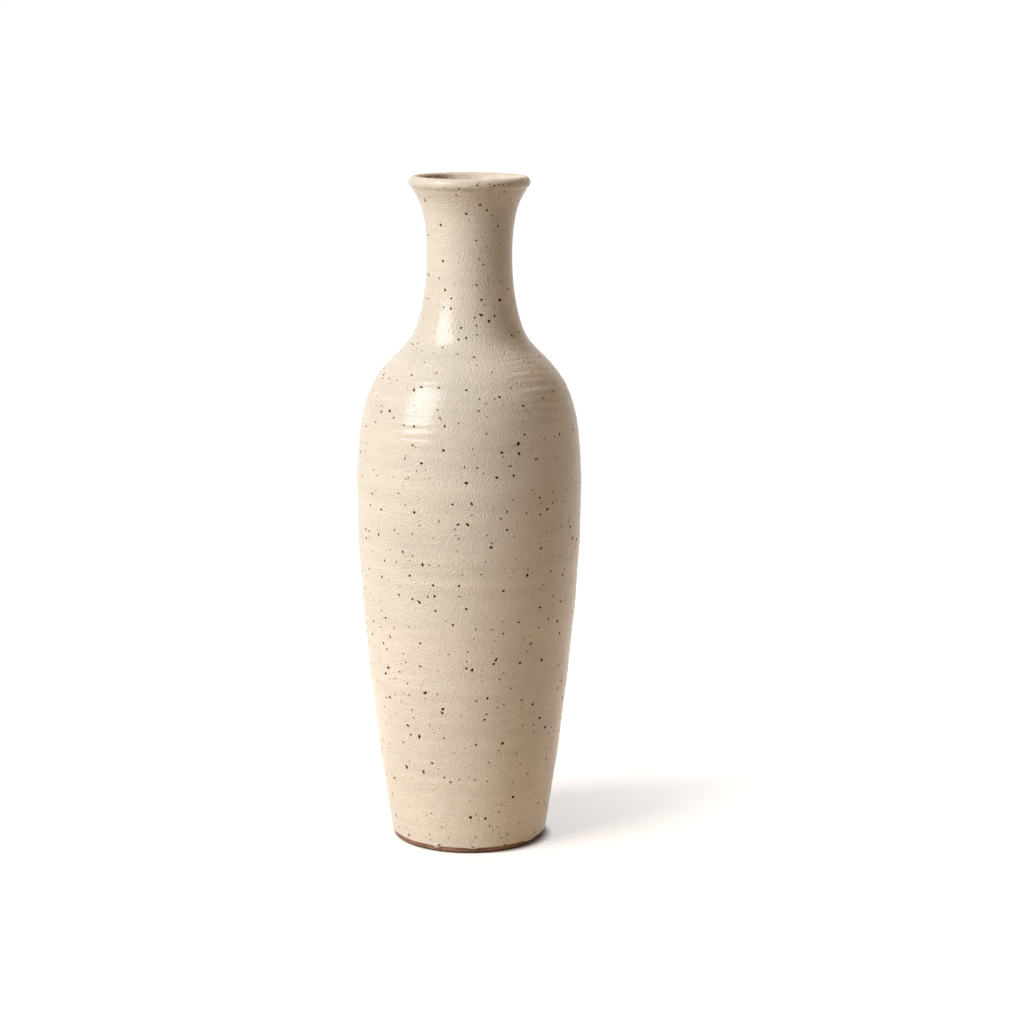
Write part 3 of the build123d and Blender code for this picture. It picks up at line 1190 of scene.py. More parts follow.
@dataclass
class OuterGlaze(ThrownPiece):
    """The speckled coat, from its wavy edge above the foot, over the lip and into the mouth."""

    seam_height: float = 0.227
    rim_height: float = 0.300
    edge_reach: float = 9 * MM
    skin_bias: float = 0.06 * MM
    crease_drop: float = 5.5 * MM
    crease_depth: float = 0.34 * MM
    crease_width: float = 1.1 * MM
    lip_drop: float = 2.8 * MM
    lip_swell: float = 0.14 * MM
    lip_width: float = 1.4 * MM
    lip_thin: float = 0.35
    # Strength of the painted shade inside the mouth.
    mouth_painted_shade: float = 2.0
    lower_thin: float = 0.8

    CALM_FADE = (6 * MM, 16 * MM)
    SOFT_REACH = 0.3 * MM
    CALM_REACH = 2.2 * MM
    BODY_GAP = 0.55 * MM
    NECK_EXTRA_GAP = 0.75 * MM
    LIP_GAP = 0.42 * MM
    FOOT_GAP = 0.35 * MM
    MOUTH_EDGE_GAP = 0.3 * MM
    COVERED_GAP = 6 * MM
    ROLL_POINTS = 7
    NECK_FADE = (1 * MM, 6 * MM)
    LIP_FADE = (13 * MM, 9 * MM)
    FOOT_FADE = (9 * MM, 5 * MM)
    RINGS_START = (6 * MM, 11 * MM)
    RINGS_END = (1 * MM, -2 * MM)
    LIP_THINS = (5 * MM, 2 * MM)
    MOUTH_SHADE_FADE = (0.1 * MM, 1.3 * MM)
    LOWER_THINS = (1.6 * MM, 0.4 * MM)
    SHOULDER = (188 * MM, 200 * MM)
    FINE_ON_BODY = 0.3
    FINE_ON_SHOULDER = 0.2

    def rows(self) -> Rows:
        """Rows up the outside, over the lip and back against the clay, with a rolled lower edge.

        Returns:
            The rows, from the clay under the lower edge all the way round.
        """
        outside, _, covered, _ = Section.of_node(self.node).stretches()
        skin = self.skin(smooth_path(outside, self.STEP))
        back = smooth_path(covered, self.STEP)
        return Rows.join([
            (self.rolled(covered[-1], skin[0]), Side.SHOWN),
            (spaced(skin, self.gap), Side.SHOWN),
            (smooth_path(np.array([skin[-1], covered[0]]), self.MOUTH_EDGE_GAP), Side.COVERED),
            (spaced(back, evenly(self.COVERED_GAP)), Side.COVERED),
        ])

    def skin(self, dense: np.ndarray) -> np.ndarray:
        """Softens the outside, swells the lip and draws the crease under it.

        Args:
            dense: Close points up the outside and over the lip.

        Returns:
            The points, moved square to the wall.
        """
        height = dense[:, 1]
        low, high = self.CALM_FADE
        calm = ramp(height, low, high) * ramp(height, self.seam_height - low, self.seam_height - high)
        dense = softened(dense, self.STEP, self.SOFT_REACH + self.CALM_REACH * calm)
        sheer = np.gradient(dense, axis=0)
        sheer /= np.linalg.norm(sheer, axis=1)[:, None]
        outer = np.arange(len(dense)) < np.argmax(height)
        swell = self.lip_swell * hump(height, self.rim_height - self.lip_drop, self.lip_width)
        swell -= self.crease_depth * hump(height, self.rim_height - self.crease_drop, self.crease_width)
        proud = np.where(outer, swell, 0.0) - self.skin_bias
        return dense + np.stack([sheer[:, 1], -sheer[:, 0]], 1) * proud[:, None]

    def rolled(self, inner: np.ndarray, outer: np.ndarray) -> np.ndarray:
        """Half round under the coat's lower edge.

        Args:
            inner: Where it leaves the clay.
            outer: Where it meets the outside.

        Returns:
            The points of the half round.
        """
        centre, half = (inner + outer) / 2, (outer - inner) / 2
        down = np.array([half[1], -half[0]])
        angle = np.linspace(0.0, math.pi, self.ROLL_POINTS)[:, None]
        return centre - half * np.cos(angle) + down * np.sin(angle)

    def gap(self, height: np.ndarray) -> np.ndarray:
        """Gap between rows: close over the ringed body and round the lip, wider on the smooth neck.

        Args:
            height: Heights up the wall.

        Returns:
            The gap at each height.
        """
        gap = self.BODY_GAP + self.NECK_EXTRA_GAP * ramp(height - self.seam_height, *self.NECK_FADE)
        gap = gap + (self.LIP_GAP - gap) * ramp(self.rim_height - height, *self.LIP_FADE)
        return gap + (self.FOOT_GAP - gap) * ramp(height, *self.FOOT_FADE)

    def weights(self, rows: Rows) -> dict[str, np.ndarray]:
        """Rings on the body only; thin glaze on the lip and at the lower edge, and painted shade in the
        mouth.

        Args:
            rows: The rows to turn.

        Returns:
            How strongly each mark takes on each row.
        """
        height = rows.place[:, 1]
        drop = self.rim_height - height
        body = ramp(height, *self.RINGS_START) * ramp(height - self.seam_height, *self.RINGS_END)
        fine = self.FINE_ON_BODY + self.FINE_ON_SHOULDER * ramp(height, *self.SHOULDER)
        way = np.concatenate([[0.0], np.cumsum(np.linalg.norm(np.diff(rows.place, axis=0), axis=1))])
        from_edge = np.minimum(way, way[-1] - way)
        edge = np.clip(1 - from_edge / self.edge_reach, 0.0, 1.0) ** 2
        inner = np.arange(len(height)) > np.argmax(height)
        thin = np.maximum.reduce([
            self.lip_thin * ramp(drop, *self.LIP_THINS),
            # Painted shade inside the mouth, carried in the thin glaze colour.
            self.mouth_painted_shade * inner * ramp(drop, *self.MOUTH_SHADE_FADE),
            self.lower_thin * ramp(from_edge, *self.LOWER_THINS),
        ])
        return {"ringed": body * rows.side, "fine": fine, "edge": edge, "thin": thin * rows.side}


@dataclass
class LinerGlaze(ThrownPiece):
    """The coat poured inside first: over the floor and up the wall to the outer glaze's edge."""

    SHOWN_GAP = 2.0 * MM
    COVERED_GAP = 6.0 * MM
    LENGTH_COST = 1000.0

    def rows(self) -> Rows:
        """Rows out under the floor, up against the clay, and back down the open side.

        Returns:
            The rows.
        """
        stretches = [smooth_path(s, self.STEP) for s in Section.of_node(self.node).stretches()]
        top = self.upper_edge(stretches)
        covered = [(spaced(path, evenly(self.COVERED_GAP)), Side.COVERED) for path in stretches[:top]]
        shown = [(spaced(path, evenly(self.SHOWN_GAP)), Side.SHOWN) for path in stretches[top:]]
        return Rows.join(covered + shown)

    def upper_edge(self, stretches: list[np.ndarray]) -> int:
        """Which stretch is the short edge at the top, where the open side starts."""
        marks = [path[:, 1].mean() - self.LENGTH_COST * len(path) * self.STEP for path in stretches]
        return int(np.argmax(marks))


@dataclass
class ClayBody(ThrownPiece):
    """The thrown body, whose trimmed foot stays bare."""

    bare_height: float = 6 * MM

    FOOT_GAP = 0.4 * MM
    WALL_EXTRA_GAP = 5.6 * MM
    WALL_SHARE = 2.5
    LINES_FADE = 2 * MM
    AXIS_FADE = (1 * MM, 6 * MM)
    SOLE_FADE = (0.1 * MM, 0.8 * MM)

    def rows(self) -> Rows:
        """Rows over the hollow and the foot ring, close together, then up the wall and down inside.

        Returns:
            The rows.
        """
        parts = []
        for path in Section.of_node(self.node).stretches():
            side = Side.SHOWN if path[:, 1].min() < self.bare_height else Side.COVERED
            parts.append((spaced(smooth_path(path, self.STEP), self.gap), side))
        return Rows.join(parts)

    def gap(self, height: np.ndarray) -> np.ndarray:
        """Gap between rows: close at the foot and wide in the covered wall."""
        wall = ramp(height, self.bare_height, self.WALL_SHARE * self.bare_height)
        return self.FOOT_GAP + self.WALL_EXTRA_GAP * wall

    def weights(self, rows: Rows) -> dict[str, np.ndarray]:
        """Turning lines on the bare foot alone.

        Args:
            rows: The rows to turn.

        Returns:
            How strongly each mark takes on each row.
        """
        radius, height = rows.place.T
        foot = ramp(height, self.bare_height, self.bare_height - self.LINES_FADE)
        foot = foot * ramp(radius, *self.AXIS_FADE) * ramp(height, *self.SOLE_FADE)
        return {**super().weights(rows), "ringed": foot, "fine": foot}


@dataclass(frozen=True)
class PhotoCamera:
    """The camera that took the photograph, fitted to the vase's rim, foot and outline."""

    away: float = 1.1384
    height: float = 0.3744
    pitch: float = 11.18
    turned: float = 0.967
    rolled: float = 0.224
    lens: float = 90.58
    sensor: float = 36.0
    picture: int = 1024

    def build(self) -> bpy.types.Object:
        """Makes the camera and puts it in use.

        Returns:
            The camera.
        """
        data = bpy.data.cameras.new("photo_camera")
        data.lens = self.lens
        data.sensor_width = self.sensor
        camera = bpy.data.objects.new("photo_camera", data)
        camera.location = (0.0, -self.away, self.height)
        camera.rotation_euler = self.aim()
        bpy.context.scene.collection.objects.link(camera)
        bpy.context.scene.camera = camera
        return camera

    def aim(self) -> Euler:
        """How the camera is turned."""
        level = Euler((math.radians(90 - self.pitch), 0.0, math.radians(-self.turned))).to_matrix()
        return (level @ Matrix.Rotation(math.radians(self.rolled), 3, "Z")).to_euler()

    def ray(self, across: float, down: float) -> tuple[Vector, Vector]:
        """Line of sight through a point of the photograph.

        Args:
            across: Pixels from the left edge.
            down: Pixels from the top edge.

        Returns:
            Where the line starts and the way it goes.
        """
        pixel = self.sensor / self.picture
        half = self.picture / 2
        way = Vector(((across - half) * pixel, (half - down) * pixel, -self.lens))
        way.rotate(self.aim())
        return Vector((0.0, -self.away, self.height)), way.normalized()


@dataclass(frozen=True)
class IronMark:
    """A large speck that the eye finds: where the photograph shows it, its size, stretch, tilt and tone."""

    across: float
    down: float
    width: float
    stretch: float = 1.0
    tilt: float = 0.0
    tone: float = 0.1


IRON_MARKS = {
    "shoulder_upper_right": IronMark(499.5, 397.0, 1.0 * MM, 1.4, -20),
    "belly_middle": IronMark(466.0, 483.0, 1.2 * MM, 1.4, 0),
    "belly_pair_upper": IronMark(458.0, 524.5, 1.05 * MM, 1.8, 38),
    "belly_pair_lower": IronMark(455.0, 529.5, 0.9 * MM),
    "belly_right": IronMark(510.5, 466.0, 0.9 * MM, 1.4, -35),
    "waist_tilted": IronMark(491.0, 547.5, 1.1 * MM, 1.6, 35),
    "waist_right": IronMark(541.0, 548.5, 1.0 * MM, 1.5, 55),
    "waist_lower_right": IronMark(503.5, 591.0, 1.0 * MM, 1.6, 35),
    "waist_left": IronMark(434.5, 596.5, 1.2 * MM),
    "lower_tilted": IronMark(496.0, 659.5, 1.15 * MM, 1.9, 48),
    "lower_long": IronMark(521.5, 700.0, 0.9 * MM, 1.8, 30, 0.3),
    "lower_left": IronMark(443.0, 709.0, 1.3 * MM, 1.3, 0),
    "lower_faint": IronMark(424.5, 693.0, 1.2 * MM, 1.6, -30, 0.5),
    "near_foot_right": IronMark(513.0, 797.0, 1.1 * MM, 1.4, 40),
    "neck_left": IronMark(445.0, 290.0, 1.0 * MM, 1.6, 80, 0.4),
    "neck_right": IronMark(498.0, 226.0, 0.95 * MM),
    "collar_middle": IronMark(475.0, 317.5, 0.95 * MM),
    "collar_low": IronMark(477.0, 335.0, 0.95 * MM),
    "lip_front": IronMark(477.0, 185.5, 0.9 * MM, 1.2),
    "lip_rust_first": IronMark(490.0, 184.0, 0.6 * MM, 1.8, 15, 0.75),
    "lip_rust_second": IronMark(494.5, 185.4, 0.7 * MM, 1.9, -20, 0.7),
    "lip_rust_third": IronMark(498.5, 184.3, 0.6 * MM, 1.6, 30, 0.7),
    "lip_rust_fourth": IronMark(503.0, 184.9, 0.7 * MM, 1.7, -10, 0.75),
    "lip_right": IronMark(509.6, 184.0, 0.6 * MM, 1.2),
    "edge_chip_left": IronMark(439.0, 845.4, 0.9 * MM, 2.2, 0, 0.35),
    "edge_chip_middle": IronMark(473.0, 847.0, 0.8 * MM, 2.2, 0, 0.4),
    "edge_chip_right": IronMark(505.0, 844.6, 0.7 * MM, 2.4, 0, 0.45),
}


@dataclass(frozen=True)
class SpeckKind:
    """Specks of one strength.

    The input that says how many lie in a square metre, how near two may come, what is added to the seed, the
    narrowest and widest as shares from the smallest speck to the largest, how much rarer wide ones are, and
    the darkest and palest tone.
    """

    density: str
    apart: float
    salt: int
    size: tuple[float, float]
    skew: float
    tone: tuple[float, float]


class SpeckTree(PieceTree):
    """Geometry nodes that scatter iron specks over the glaze and add the placed ones."""

    NAME = "iron_through_glaze"
    INPUTS = {
        "Coat": "Object",
        "Strong per square metre": "Float",
        "Faint per square metre": "Float",
        "Smallest": "Float",
        "Largest": "Float",
        "Thickness": "Float",
        "Seed": "Int",
    }
    KINDS = (
        SpeckKind("Strong per square metre", 2.6 * MM, 10, (0.25, 0.85), 2.1, (0.0, 0.2)),
        SpeckKind("Faint per square metre", 1.5 * MM, 30, (0.0, 0.3), 1.5, (0.3, 0.9)),
    )
    WHOLLY_SHOWN = 0.99
    OUTSIDE = 4 * MM
    STRETCH = (1.0, 1.6)
    STRETCH_SKEW = 1.3
    PEBBLE = {"Segments": 9, "Rings": 4, "Radius": 0.5}
    RAGGED = {"Scale": 900.0, "Detail": 1.0}
    RAGGED_SHARE = 0.7

    def __init__(self) -> None:
        """Builds the tree."""
        super().__init__()
        self.build()

    def seed(self, salt: int) -> bpy.types.NodeSocket:
        """The seed with a number added."""
        return self.sheet.math("ADD", self.input("Seed"), float(salt))

    def chance(self, low: Any, high: Any, salt: int) -> bpy.types.NodeSocket:
        """A random number for each speck."""
        inputs = {"Min": low, "Max": high, "Seed": self.seed(salt)}
        return self.sheet.out(self.sheet.add("FunctionNodeRandomValue", inputs, data_type="FLOAT"))

    def scatter(self, coat: Any, kind: SpeckKind) -> bpy.types.NodeSocket:
        """Scatters specks of one strength over the shown side of the coat where it faces outwards.

        Args:
            coat: Geometry of the glaze.
            kind: How many there are and how they vary.

        Returns:
            The socket with the points.
        """
        sheet = self.sheet
        across = sheet.vector("MULTIPLY", sheet.position(), (1.0, 1.0, 0.0))
        outwards = sheet.measure("DOT_PRODUCT", sheet.out(sheet.add("GeometryNodeInputNormal")), across)
        shown = sheet.math("GREATER_THAN", sheet.named("shown"), self.WHOLLY_SHOWN)
        here = sheet.math("MULTIPLY", shown, sheet.math("GREATER_THAN", outwards, self.OUTSIDE))
        spread = sheet.add("GeometryNodeDistributePointsOnFaces", distribute_method="POISSON", inputs={
            "Mesh": coat,
            "Distance Min": kind.apart,
            "Density Max": self.input(kind.density),
            "Density Factor": here,
            "Seed": self.seed(kind.salt),
        })
        pick = sheet.math("POWER", self.chance(0.0, 1.0, kind.salt + 1), kind.skew)
        share = sheet.remap(pick, 0.0, 1.0, *kind.size)
        stretch = self.chance(*self.STRETCH, kind.salt + 2)
        points = sheet.out(spread, "Points")
        points = self.stored(points, "POINT", "FLOAT_VECTOR", {"facing": sheet.out(spread, "Normal")})
        return self.stored(points, "POINT", "FLOAT", {
            "width": sheet.remap(share, 0.0, 1.0, self.input("Smallest"), self.input("Largest")),
            "stretch": sheet.math("POWER", stretch, self.STRETCH_SKEW),
            "tilt": self.chance(0.0, 2 * math.pi, kind.salt + 3),
            "tone": self.chance(*kind.tone, kind.salt + 4),
        })

    def pebble(self) -> bpy.types.NodeSocket:
        """Makes one round speck that knows how near its rim each point lies.

        Returns:
            The socket with its geometry.
        """
        sheet = self.sheet
        rim = sheet.measure("LENGTH", sheet.vector("MULTIPLY", sheet.position(), (2.0, 2.0, 0.0)))
        ball = sheet.out(sheet.add("GeometryNodeMeshUVSphere", self.PEBBLE), "Mesh")
        return self.stored(ball, "POINT", "FLOAT", {"rim": rim})

    def laid(self, facing: Any) -> bpy.types.Node:
        """Turns a speck to lie on the wall, tilted its own way.

        Args:
            facing: The way that the wall faces.

        Returns:
            The node with the rotation.
        """
        sheet = self.sheet
        upright = sheet.add("FunctionNodeAlignRotationToVector", {"Vector": facing}, axis="Z")
        level = sheet.vector("CROSS_PRODUCT", (0.0, 0.0, 1.0), facing)
        inputs = {"Rotation": upright, "Vector": level}
        upright = sheet.add("FunctionNodeAlignRotationToVector", inputs, axis="X", pivot_axis="Z")
        inputs = {"Axis": (0.0, 0.0, 1.0), "Angle": sheet.named("tilt")}
        inputs = {"Rotation": upright, "Rotate By": sheet.add("FunctionNodeAxisAngleToRotation", inputs)}
        return sheet.add("FunctionNodeRotateRotation", inputs, rotation_space="LOCAL")

    def ragged(self, facing: Any, width: Any) -> bpy.types.NodeSocket:
        """Uneven push along the wall, larger on wider specks.

        Args:
            facing: The way that the wall faces.
            width: The speck's width.

        Returns:
            The socket with the push.
        """
        sheet = self.sheet
        noise = sheet.add("ShaderNodeTexNoise", {"Vector": sheet.position(), **self.RAGGED})
        push = sheet.vector("SUBTRACT", sheet.out(noise, "Color"), (0.5, 0.5, 0.5))
        lift = sheet.measure("DOT_PRODUCT", push, facing)
        push = sheet.vector("SUBTRACT", push, sheet.scaled(facing, lift))
        return sheet.scaled(push, sheet.math("MULTIPLY", width, self.RAGGED_SHARE))

    def build(self) -> None:
        """Lays out the nodes, from the coat to the finished specks."""
        sheet = self.sheet
        coat = sheet.out(sheet.add("GeometryNodeObjectInfo", {"Object": self.input("Coat")}), "Geometry")
        placed = sheet.add("GeometryNodeMeshToPoints", {"Mesh": self.input("Geometry")})
        points = sheet.add("GeometryNodeJoinGeometry")
        for part in [sheet.out(placed), *(self.scatter(coat, kind) for kind in self.KINDS)]:
            self.tree.links.new(part, points.inputs[0])
        facing, width = sheet.named("facing", "FLOAT_VECTOR"), sheet.named("width")
        long = sheet.math("MULTIPLY", width, sheet.named("stretch"))
        specks = sheet.add("GeometryNodeInstanceOnPoints", {
            "Points": points,
            "Instance": self.pebble(),
            "Rotation": self.laid(facing),
            "Scale": sheet.join(long, width, self.input("Thickness")),
        })
        specks = sheet.add("GeometryNodeRealizeInstances", {"Geometry": specks})
        inputs = {"Geometry": specks, "Offset": self.ragged(facing, width)}
        self.end(sheet.add("GeometryNodeSetPosition", inputs))


@dataclass
class IronSpecks:
    """Specks of iron that have bled through the glaze, scattered by chance, with the large ones placed."""

    coat: bpy.types.Object
    camera: PhotoCamera
    finish: IronFinish = BLED_IRON
    strong: float = 11500.0
    faint: float = 9000.0
    smallest: float = 0.36 * MM
    largest: float = 1.45 * MM
    thickness: float = 0.08 * MM
    seed: int = 11
    marks: dict[str, IronMark] = field(default_factory=lambda: dict(IRON_MARKS))

    def placed(self) -> bpy.types.Mesh:
        """Finds the placed marks on the glaze.

        Returns:
            A mesh of loose points, one for each mark, with its size, tilt and tone.
        """
        tree = BVHTree.FromPolygons(
            [v.co for v in self.coat.data.vertices], [p.vertices for p in self.coat.data.polygons]
        )
        found = []
        for name, mark in self.marks.items():
            place, facing, _, _ = tree.ray_cast(*self.camera.ray(mark.across, mark.down))
            if place is None:
                raise ValueError(f"the mark {name} misses the glaze")
            found.append((place, facing, mark))
        mesh = bpy.data.meshes.new("iron_marks")
        mesh.from_pydata([tuple(place) for place, _, _ in found], [], [])
        facings = np.array([facing for _, facing, _ in found], np.float32)
        outwards = mesh.attributes.new("facing", "FLOAT_VECTOR", "POINT")
        outwards.data.foreach_set("vector", facings.ravel())
        values = {
            "width": [mark.width for _, _, mark in found],
            "stretch": [mark.stretch for _, _, mark in found],
            "tilt": [math.radians(mark.tilt) for _, _, mark in found],
            "tone": [mark.tone for _, _, mark in found],
        }
        for name, value in values.items():
            mesh.attributes.new(name, "FLOAT", "POINT").data.foreach_set("value", value)
        return mesh

    def build(self) -> bpy.types.Object:
        """Scatters the specks and dresses them.

        Returns:
            The finished piece, declared to the frame.
        """
        piece = SpeckTree().made("iron_specks", self.placed(), {
            "Coat": self.coat,
            "Strong per square metre": self.strong,
            "Faint per square metre": self.faint,
            "Smallest": self.smallest,
            "Largest": self.largest,
            "Thickness": self.thickness,
            "Seed": self.seed,
            "Material": self.finish.material(),
        })
        return declared(piece, Slot.SPECKLED)


@dataclass(frozen=True)
class PaleWall:
    """A side of the room that throws light back.

    Its name, the way to it, how strongly it glows, how far from that way its glow ends, as the cosine of
    the angle, and its colour.
    """

    name: str
    way: tuple[float, float, float]
    glow: float
    edge: float
    colour: Colour = WARM_WHITE


@dataclass(frozen=True)
class SoftBox:
    """A soft lamp: degrees round from the front to the left, rise, how far off, sides, power and colour."""

    name: str
    turn: float
    rise: float
    away: float
    size: tuple[float, float]
    power: float
    colour: Colour


@dataclass
class Studio:
    """A plain white studio: a wide floor, a large soft box, a small one behind and a pale room.

    Beside the foot the floor glows less, furthest on the side that the contact lies on: degrees round from
    the front to the right.
    """

    lamps: Sequence[SoftBox] = (
        SoftBox("key", 59.0, 32.0, 4.0, (2.3, 2.8), 258.0, (0.835, 0.893, 0.98)),
        SoftBox("upper_back", -150.0, 68.0, 2.0, (1.2, 1.2), 12.0, (1.0, 0.78, 0.58)),
    )
    room_glow: float = 0.02
    room_colour: Colour = WARM_WHITE
    walls: Sequence[PaleWall] = (PaleWall("right", (0.95, 0.05, 0.0), 2.1, 0.55),)
    wall_top: tuple[float, float] = (0.05, 0.3)
    backdrop_edge: tuple[float, float] = (0.5, 0.9)
    floor_size: float = 24.0
    near_colour: Colour = srgb(218, 197, 172)
    far_colour: Colour = srgb(118, 107, 94)
    floor_dims: tuple[float, float] = (0.15, 0.7)
    floor_glow: float = 0.51
    glow_colour: Colour = (0.92, 1.03, 1.12)
    floor_clear: tuple[float, float] = (0.0, 0.24)
    foot_radius: float = 34 * MM
    contact_turn: float = 60.0
    contact_spread: tuple[float, float] = (0.6, 1.0)
    contact_reach: tuple[float, float] = (0.8 * MM, 6.0 * MM)
    contact_glow: float = 0.06

    def build(self) -> None:
        """Builds the floor, the lamps and the room."""
        self.floor()
        for box in self.lamps:
            self.lamp(box)
        self.room()
        bpy.context.scene.view_settings.view_transform = "Standard"

    @staticmethod
    def seen(sheet: NodeSheet, mirrored: Any = 1.0) -> bpy.types.NodeSocket:
        """Which rays see plain white.

        Args:
            sheet: The nodes of a material or of the room.
            mirrored: Share of the white that a mirrored or a bent ray sees.

        Returns:
            The socket with the share, 1 for rays from the camera.
        """
        path = sheet.add("ShaderNodeLightPath")
        rays = ("Is Camera Ray", "Is Glossy Ray", "Is Transmission Ray")
        camera, glossy, through = (sheet.out(path, name) for name in rays)
        mirror = sheet.math("MULTIPLY", sheet.math("MAXIMUM", glossy, through), mirrored)
        return sheet.math("MAXIMUM", camera, mirror)

    def floor(self) -> bpy.types.Object:
        """Lays a white floor that keeps the vase's shadow near it and is plain white further off.

        Returns:
            The floor.
        """
        half = self.floor_size / 2
        mesh = bpy.data.meshes.new("studio_floor")
        corners = [(-half, -half, 0.0), (half, -half, 0.0), (half, half, 0.0), (-half, half, 0.0)]
        mesh.from_pydata(corners, [], [(0, 1, 2, 3)])
        floor = bpy.data.objects.new("studio_floor", mesh)
        bpy.context.scene.collection.objects.link(floor)
        material, sheet, shader = plain_material("white_floor")
        shader.inputs["Roughness"].default_value = 1.0
        shader.inputs["Specular IOR Level"].default_value = 0.0
        place = sheet.object_place()
        away = sheet.measure("LENGTH", place)
        dim = sheet.remap(away, *self.floor_dims, smooth=True)
        sheet.feed(shader, "Base Color", sheet.colour_mix(dim, self.near_colour, self.far_colour))
        far = sheet.remap(away, *self.floor_clear, smooth=True)
        clear = sheet.remap(far, 0.0, 1.0, self.floor_glow, 1.0)
        sheet.feed(shader, "Emission Color", sheet.colour_mix(far, self.glow_colour, WHITE))
        clear = sheet.math("MULTIPLY", clear, self.beside_foot(sheet, place, away))
        sheet.feed(shader, "Emission Strength", sheet.math("MULTIPLY", clear, self.seen(sheet)))
        mesh.materials.append(material)
        return floor

    def beside_foot(self, sheet: NodeSheet, place: Any, away: Any) -> bpy.types.NodeSocket:
        """How much of its glow the floor keeps close beside the foot.

        Args:
            sheet: The floor's nodes.
            place: Object coordinates.
            away: Distance from the axis.

        Returns:
            The socket with the share.
        """
        turn = math.radians(self.contact_turn)
        shaded = (math.sin(turn), -math.cos(turn), 0.0)
        turned = sheet.measure("DOT_PRODUCT", sheet.vector("NORMALIZE", place), shaded)
        reach = sheet.remap(turned, *self.contact_spread, *self.contact_reach, smooth=True)
        beside = sheet.math("DIVIDE", sheet.math("SUBTRACT", away, self.foot_radius), reach)
        return sheet.remap(beside, 0.0, 1.0, self.contact_glow, 1.0, smooth=True)

    def lamp(self, box: SoftBox) -> bpy.types.Object:
        """Hangs a soft box, turned to the middle of the vase.

        Args:
            box: Which one.

        Returns:
            The lamp.
        """
        turn, rise = math.radians(box.turn), math.radians(box.rise)
        away = Vector((-math.sin(turn) * math.cos(rise), -math.cos(turn) * math.cos(rise), math.sin(rise)))
        data = bpy.data.lights.new(box.name, "AREA")
        data.shape = "RECTANGLE"
        data.size, data.size_y = box.size
        data.energy = box.power
        data.color = box.colour
        lamp = bpy.data.objects.new(box.name, data)
        lamp.location = Vector((0.0, 0.0, CAD_BOX[1].z / 2)) + away * box.away
        lamp.rotation_euler = away.to_track_quat("Z", "Y").to_euler()
        bpy.context.scene.collection.objects.link(lamp)
        return lamp

    def room(self) -> bpy.types.World:
        """Lights the room, whose walls glow as strongly as they are pale and are plain white to the eye.

        Returns:
            The room.
        """
        world = bpy.data.worlds.new("pale_room")
        world.use_nodes = True
        sheet = NodeSheet(world.node_tree)
        background = next(n for n in world.node_tree.nodes if n.type == "BACKGROUND")
        way = sheet.out(sheet.add("ShaderNodeTexCoord"), "Generated")
        _, back, up = sheet.split(way)
        low = sheet.remap(up, *self.wall_top, 1.0, 0.0, smooth=True)
        light = tuple(self.room_glow * c for c in self.room_colour)
        for wall in self.walls:
            facing = sheet.measure("DOT_PRODUCT", way, Vector(wall.way).normalized())
            glow = sheet.remap(facing, wall.edge, 1.0, 0.0, wall.glow, smooth=True)
            light = sheet.vector("ADD", light, sheet.scaled(wall.colour, sheet.math("MULTIPLY", glow, low)))
        white = self.seen(sheet, sheet.remap(back, *self.backdrop_edge, smooth=True))
        sheet.feed(background, "Color", sheet.colour_mix(white, light, WHITE))
        background.inputs["Strength"].default_value = 1.0
        bpy.context.scene.world = world
        return world


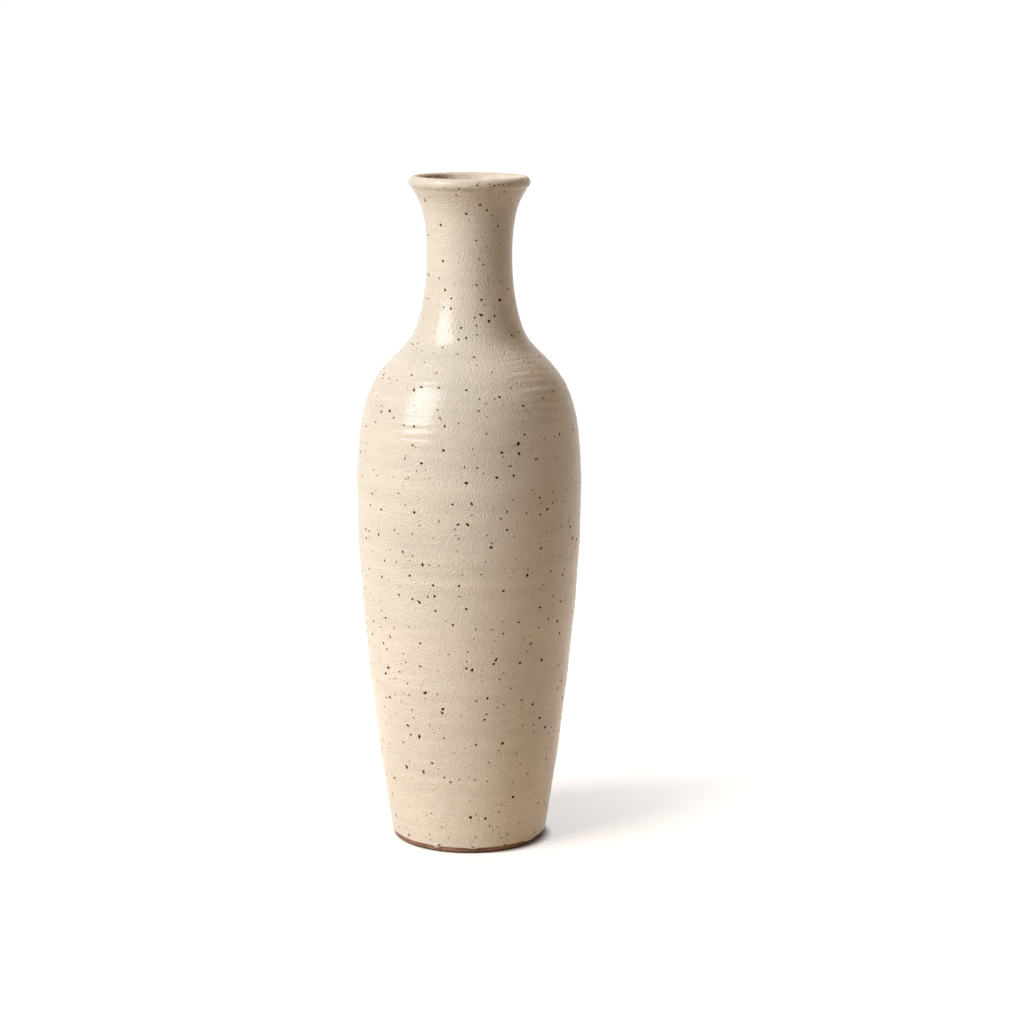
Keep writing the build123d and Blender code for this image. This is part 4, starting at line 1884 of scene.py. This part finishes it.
@dataclass
class BottleVase:
    """The whole vase: the glaze, the liner, the bare foot and the iron specks, with the clay inside."""

    camera: PhotoCamera

    LONG_RIDGES = (
        FingerRidge(17.5 * MM, 0.8 * MM, 0.9, -10, 40),
        FingerRidge(27.0 * MM, 0.8 * MM, 1.0, 0, 50),
        FingerRidge(34.0 * MM, 0.9 * MM, 1.1, -8, 45),
        FingerRidge(62.0 * MM, 0.8 * MM, 0.7, 10, 35),
        FingerRidge(88.0 * MM, 0.8 * MM, 0.8, -12, 35),
        FingerRidge(126.2 * MM, 0.9 * MM, 1.4, -8, 45),
        FingerRidge(132.0 * MM, 0.8 * MM, 0.9, 12, 40),
        FingerRidge(145.0 * MM, 0.9 * MM, 1.1, 0, 40),
        FingerRidge(168.2 * MM, 0.8 * MM, 2.0, -4, 45),
        FingerRidge(188.5 * MM, 0.8 * MM, 1.6, -32, 30),
        FingerRidge(192.2 * MM, 0.6 * MM, 1.0, -36, 16),
        FingerRidge(196.0 * MM, 0.6 * MM, 0.9, -30, 14),
        FingerRidge(211.3 * MM, 0.6 * MM, 1.2, -24, 14),
        FingerRidge(213.6 * MM, 0.6 * MM, 1.4, -22, 14),
    )
    RIB_HEIGHTS = (200.0, 203.0, 206.0, 209.5, 213.0, 216.0, 218.6, 220.8, 222.6, 224.2)
    RIB_LINE = {"width": 0.5 * MM, "proud": 1.9, "turn": 44.0, "reach": 17.0}
    KEPT_CLEAR = 0.05 * MM
    NICKS = (
        EdgeNick(turn=-24.0, rise=1.3 * MM, reach=2.2),
        EdgeNick(turn=4.0, rise=0.8 * MM, reach=4.5),
        EdgeNick(turn=52.0, rise=0.8 * MM, reach=6.0),
    )

    def build(self) -> None:
        """Builds the pieces from the outside in and dresses what the frame keeps."""
        coat = OuterGlaze(
            name="outer_glaze_coat",
            node="outer_glaze",
            slot=Slot.SPECKLED,
            finish=OATMEAL_GLAZE,
            segments=144,
            ring_height=0.11 * MM,
            fine_ring_height=0.10 * MM,
            ridge_height=0.10 * MM,
            wobble=0.25 * MM,
            edge_swing=2.2 * MM,
            ridges=(*self.LONG_RIDGES, *self.rib_lines()),
            nicks=self.NICKS,
            widest=CAD_BOX[1].x - self.KEPT_CLEAR,
            seam_height=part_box("clay_body")[1].z,
            rim_height=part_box("outer_glaze")[1].z,
        ).build()
        LinerGlaze(
            name="poured_liner",
            node="liner_glaze",
            slot=Slot.LINER,
            finish=POURED_LINER,
            segments=96,
        ).build()
        ClayBody(
            name="thrown_clay_body",
            node="clay_body",
            slot=Slot.STONEWARE,
            finish=BARE_STONEWARE,
            segments=144,
            ring_height=0.05 * MM,
            fine_ring_height=0.06 * MM,
        ).build()
        IronSpecks(coat, self.camera).build()
        for node, finish in (("clay_neck", BARE_STONEWARE), ("joint_slip", FIRED_SLIP)):
            self.dress(node, finish)

    def rib_lines(self) -> list[FingerRidge]:
        """The close lines that a rib left on one side of the shoulder."""
        return [FingerRidge(height * MM, **self.RIB_LINE) for height in self.RIB_HEIGHTS]

    @staticmethod
    def dress(node: str, finish: ClayFinish) -> None:
        """Gives a CAD node that stays its finish.

        Args:
            node: The CAD node.
            finish: The clay that it is made of.
        """
        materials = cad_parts[node].data.materials
        materials.clear()
        materials.append(finish.material())
        LOG.info("%s: kept from the frame, %s", node, finish.name)


def main() -> None:
    """Builds the camera, the studio and the vase."""
    logging.basicConfig(level=logging.INFO, format="%(name)s %(message)s")
    camera = PhotoCamera()
    camera.build()
    Studio().build()
    BottleVase(camera).build()


if __name__ == "__main__":
    main()
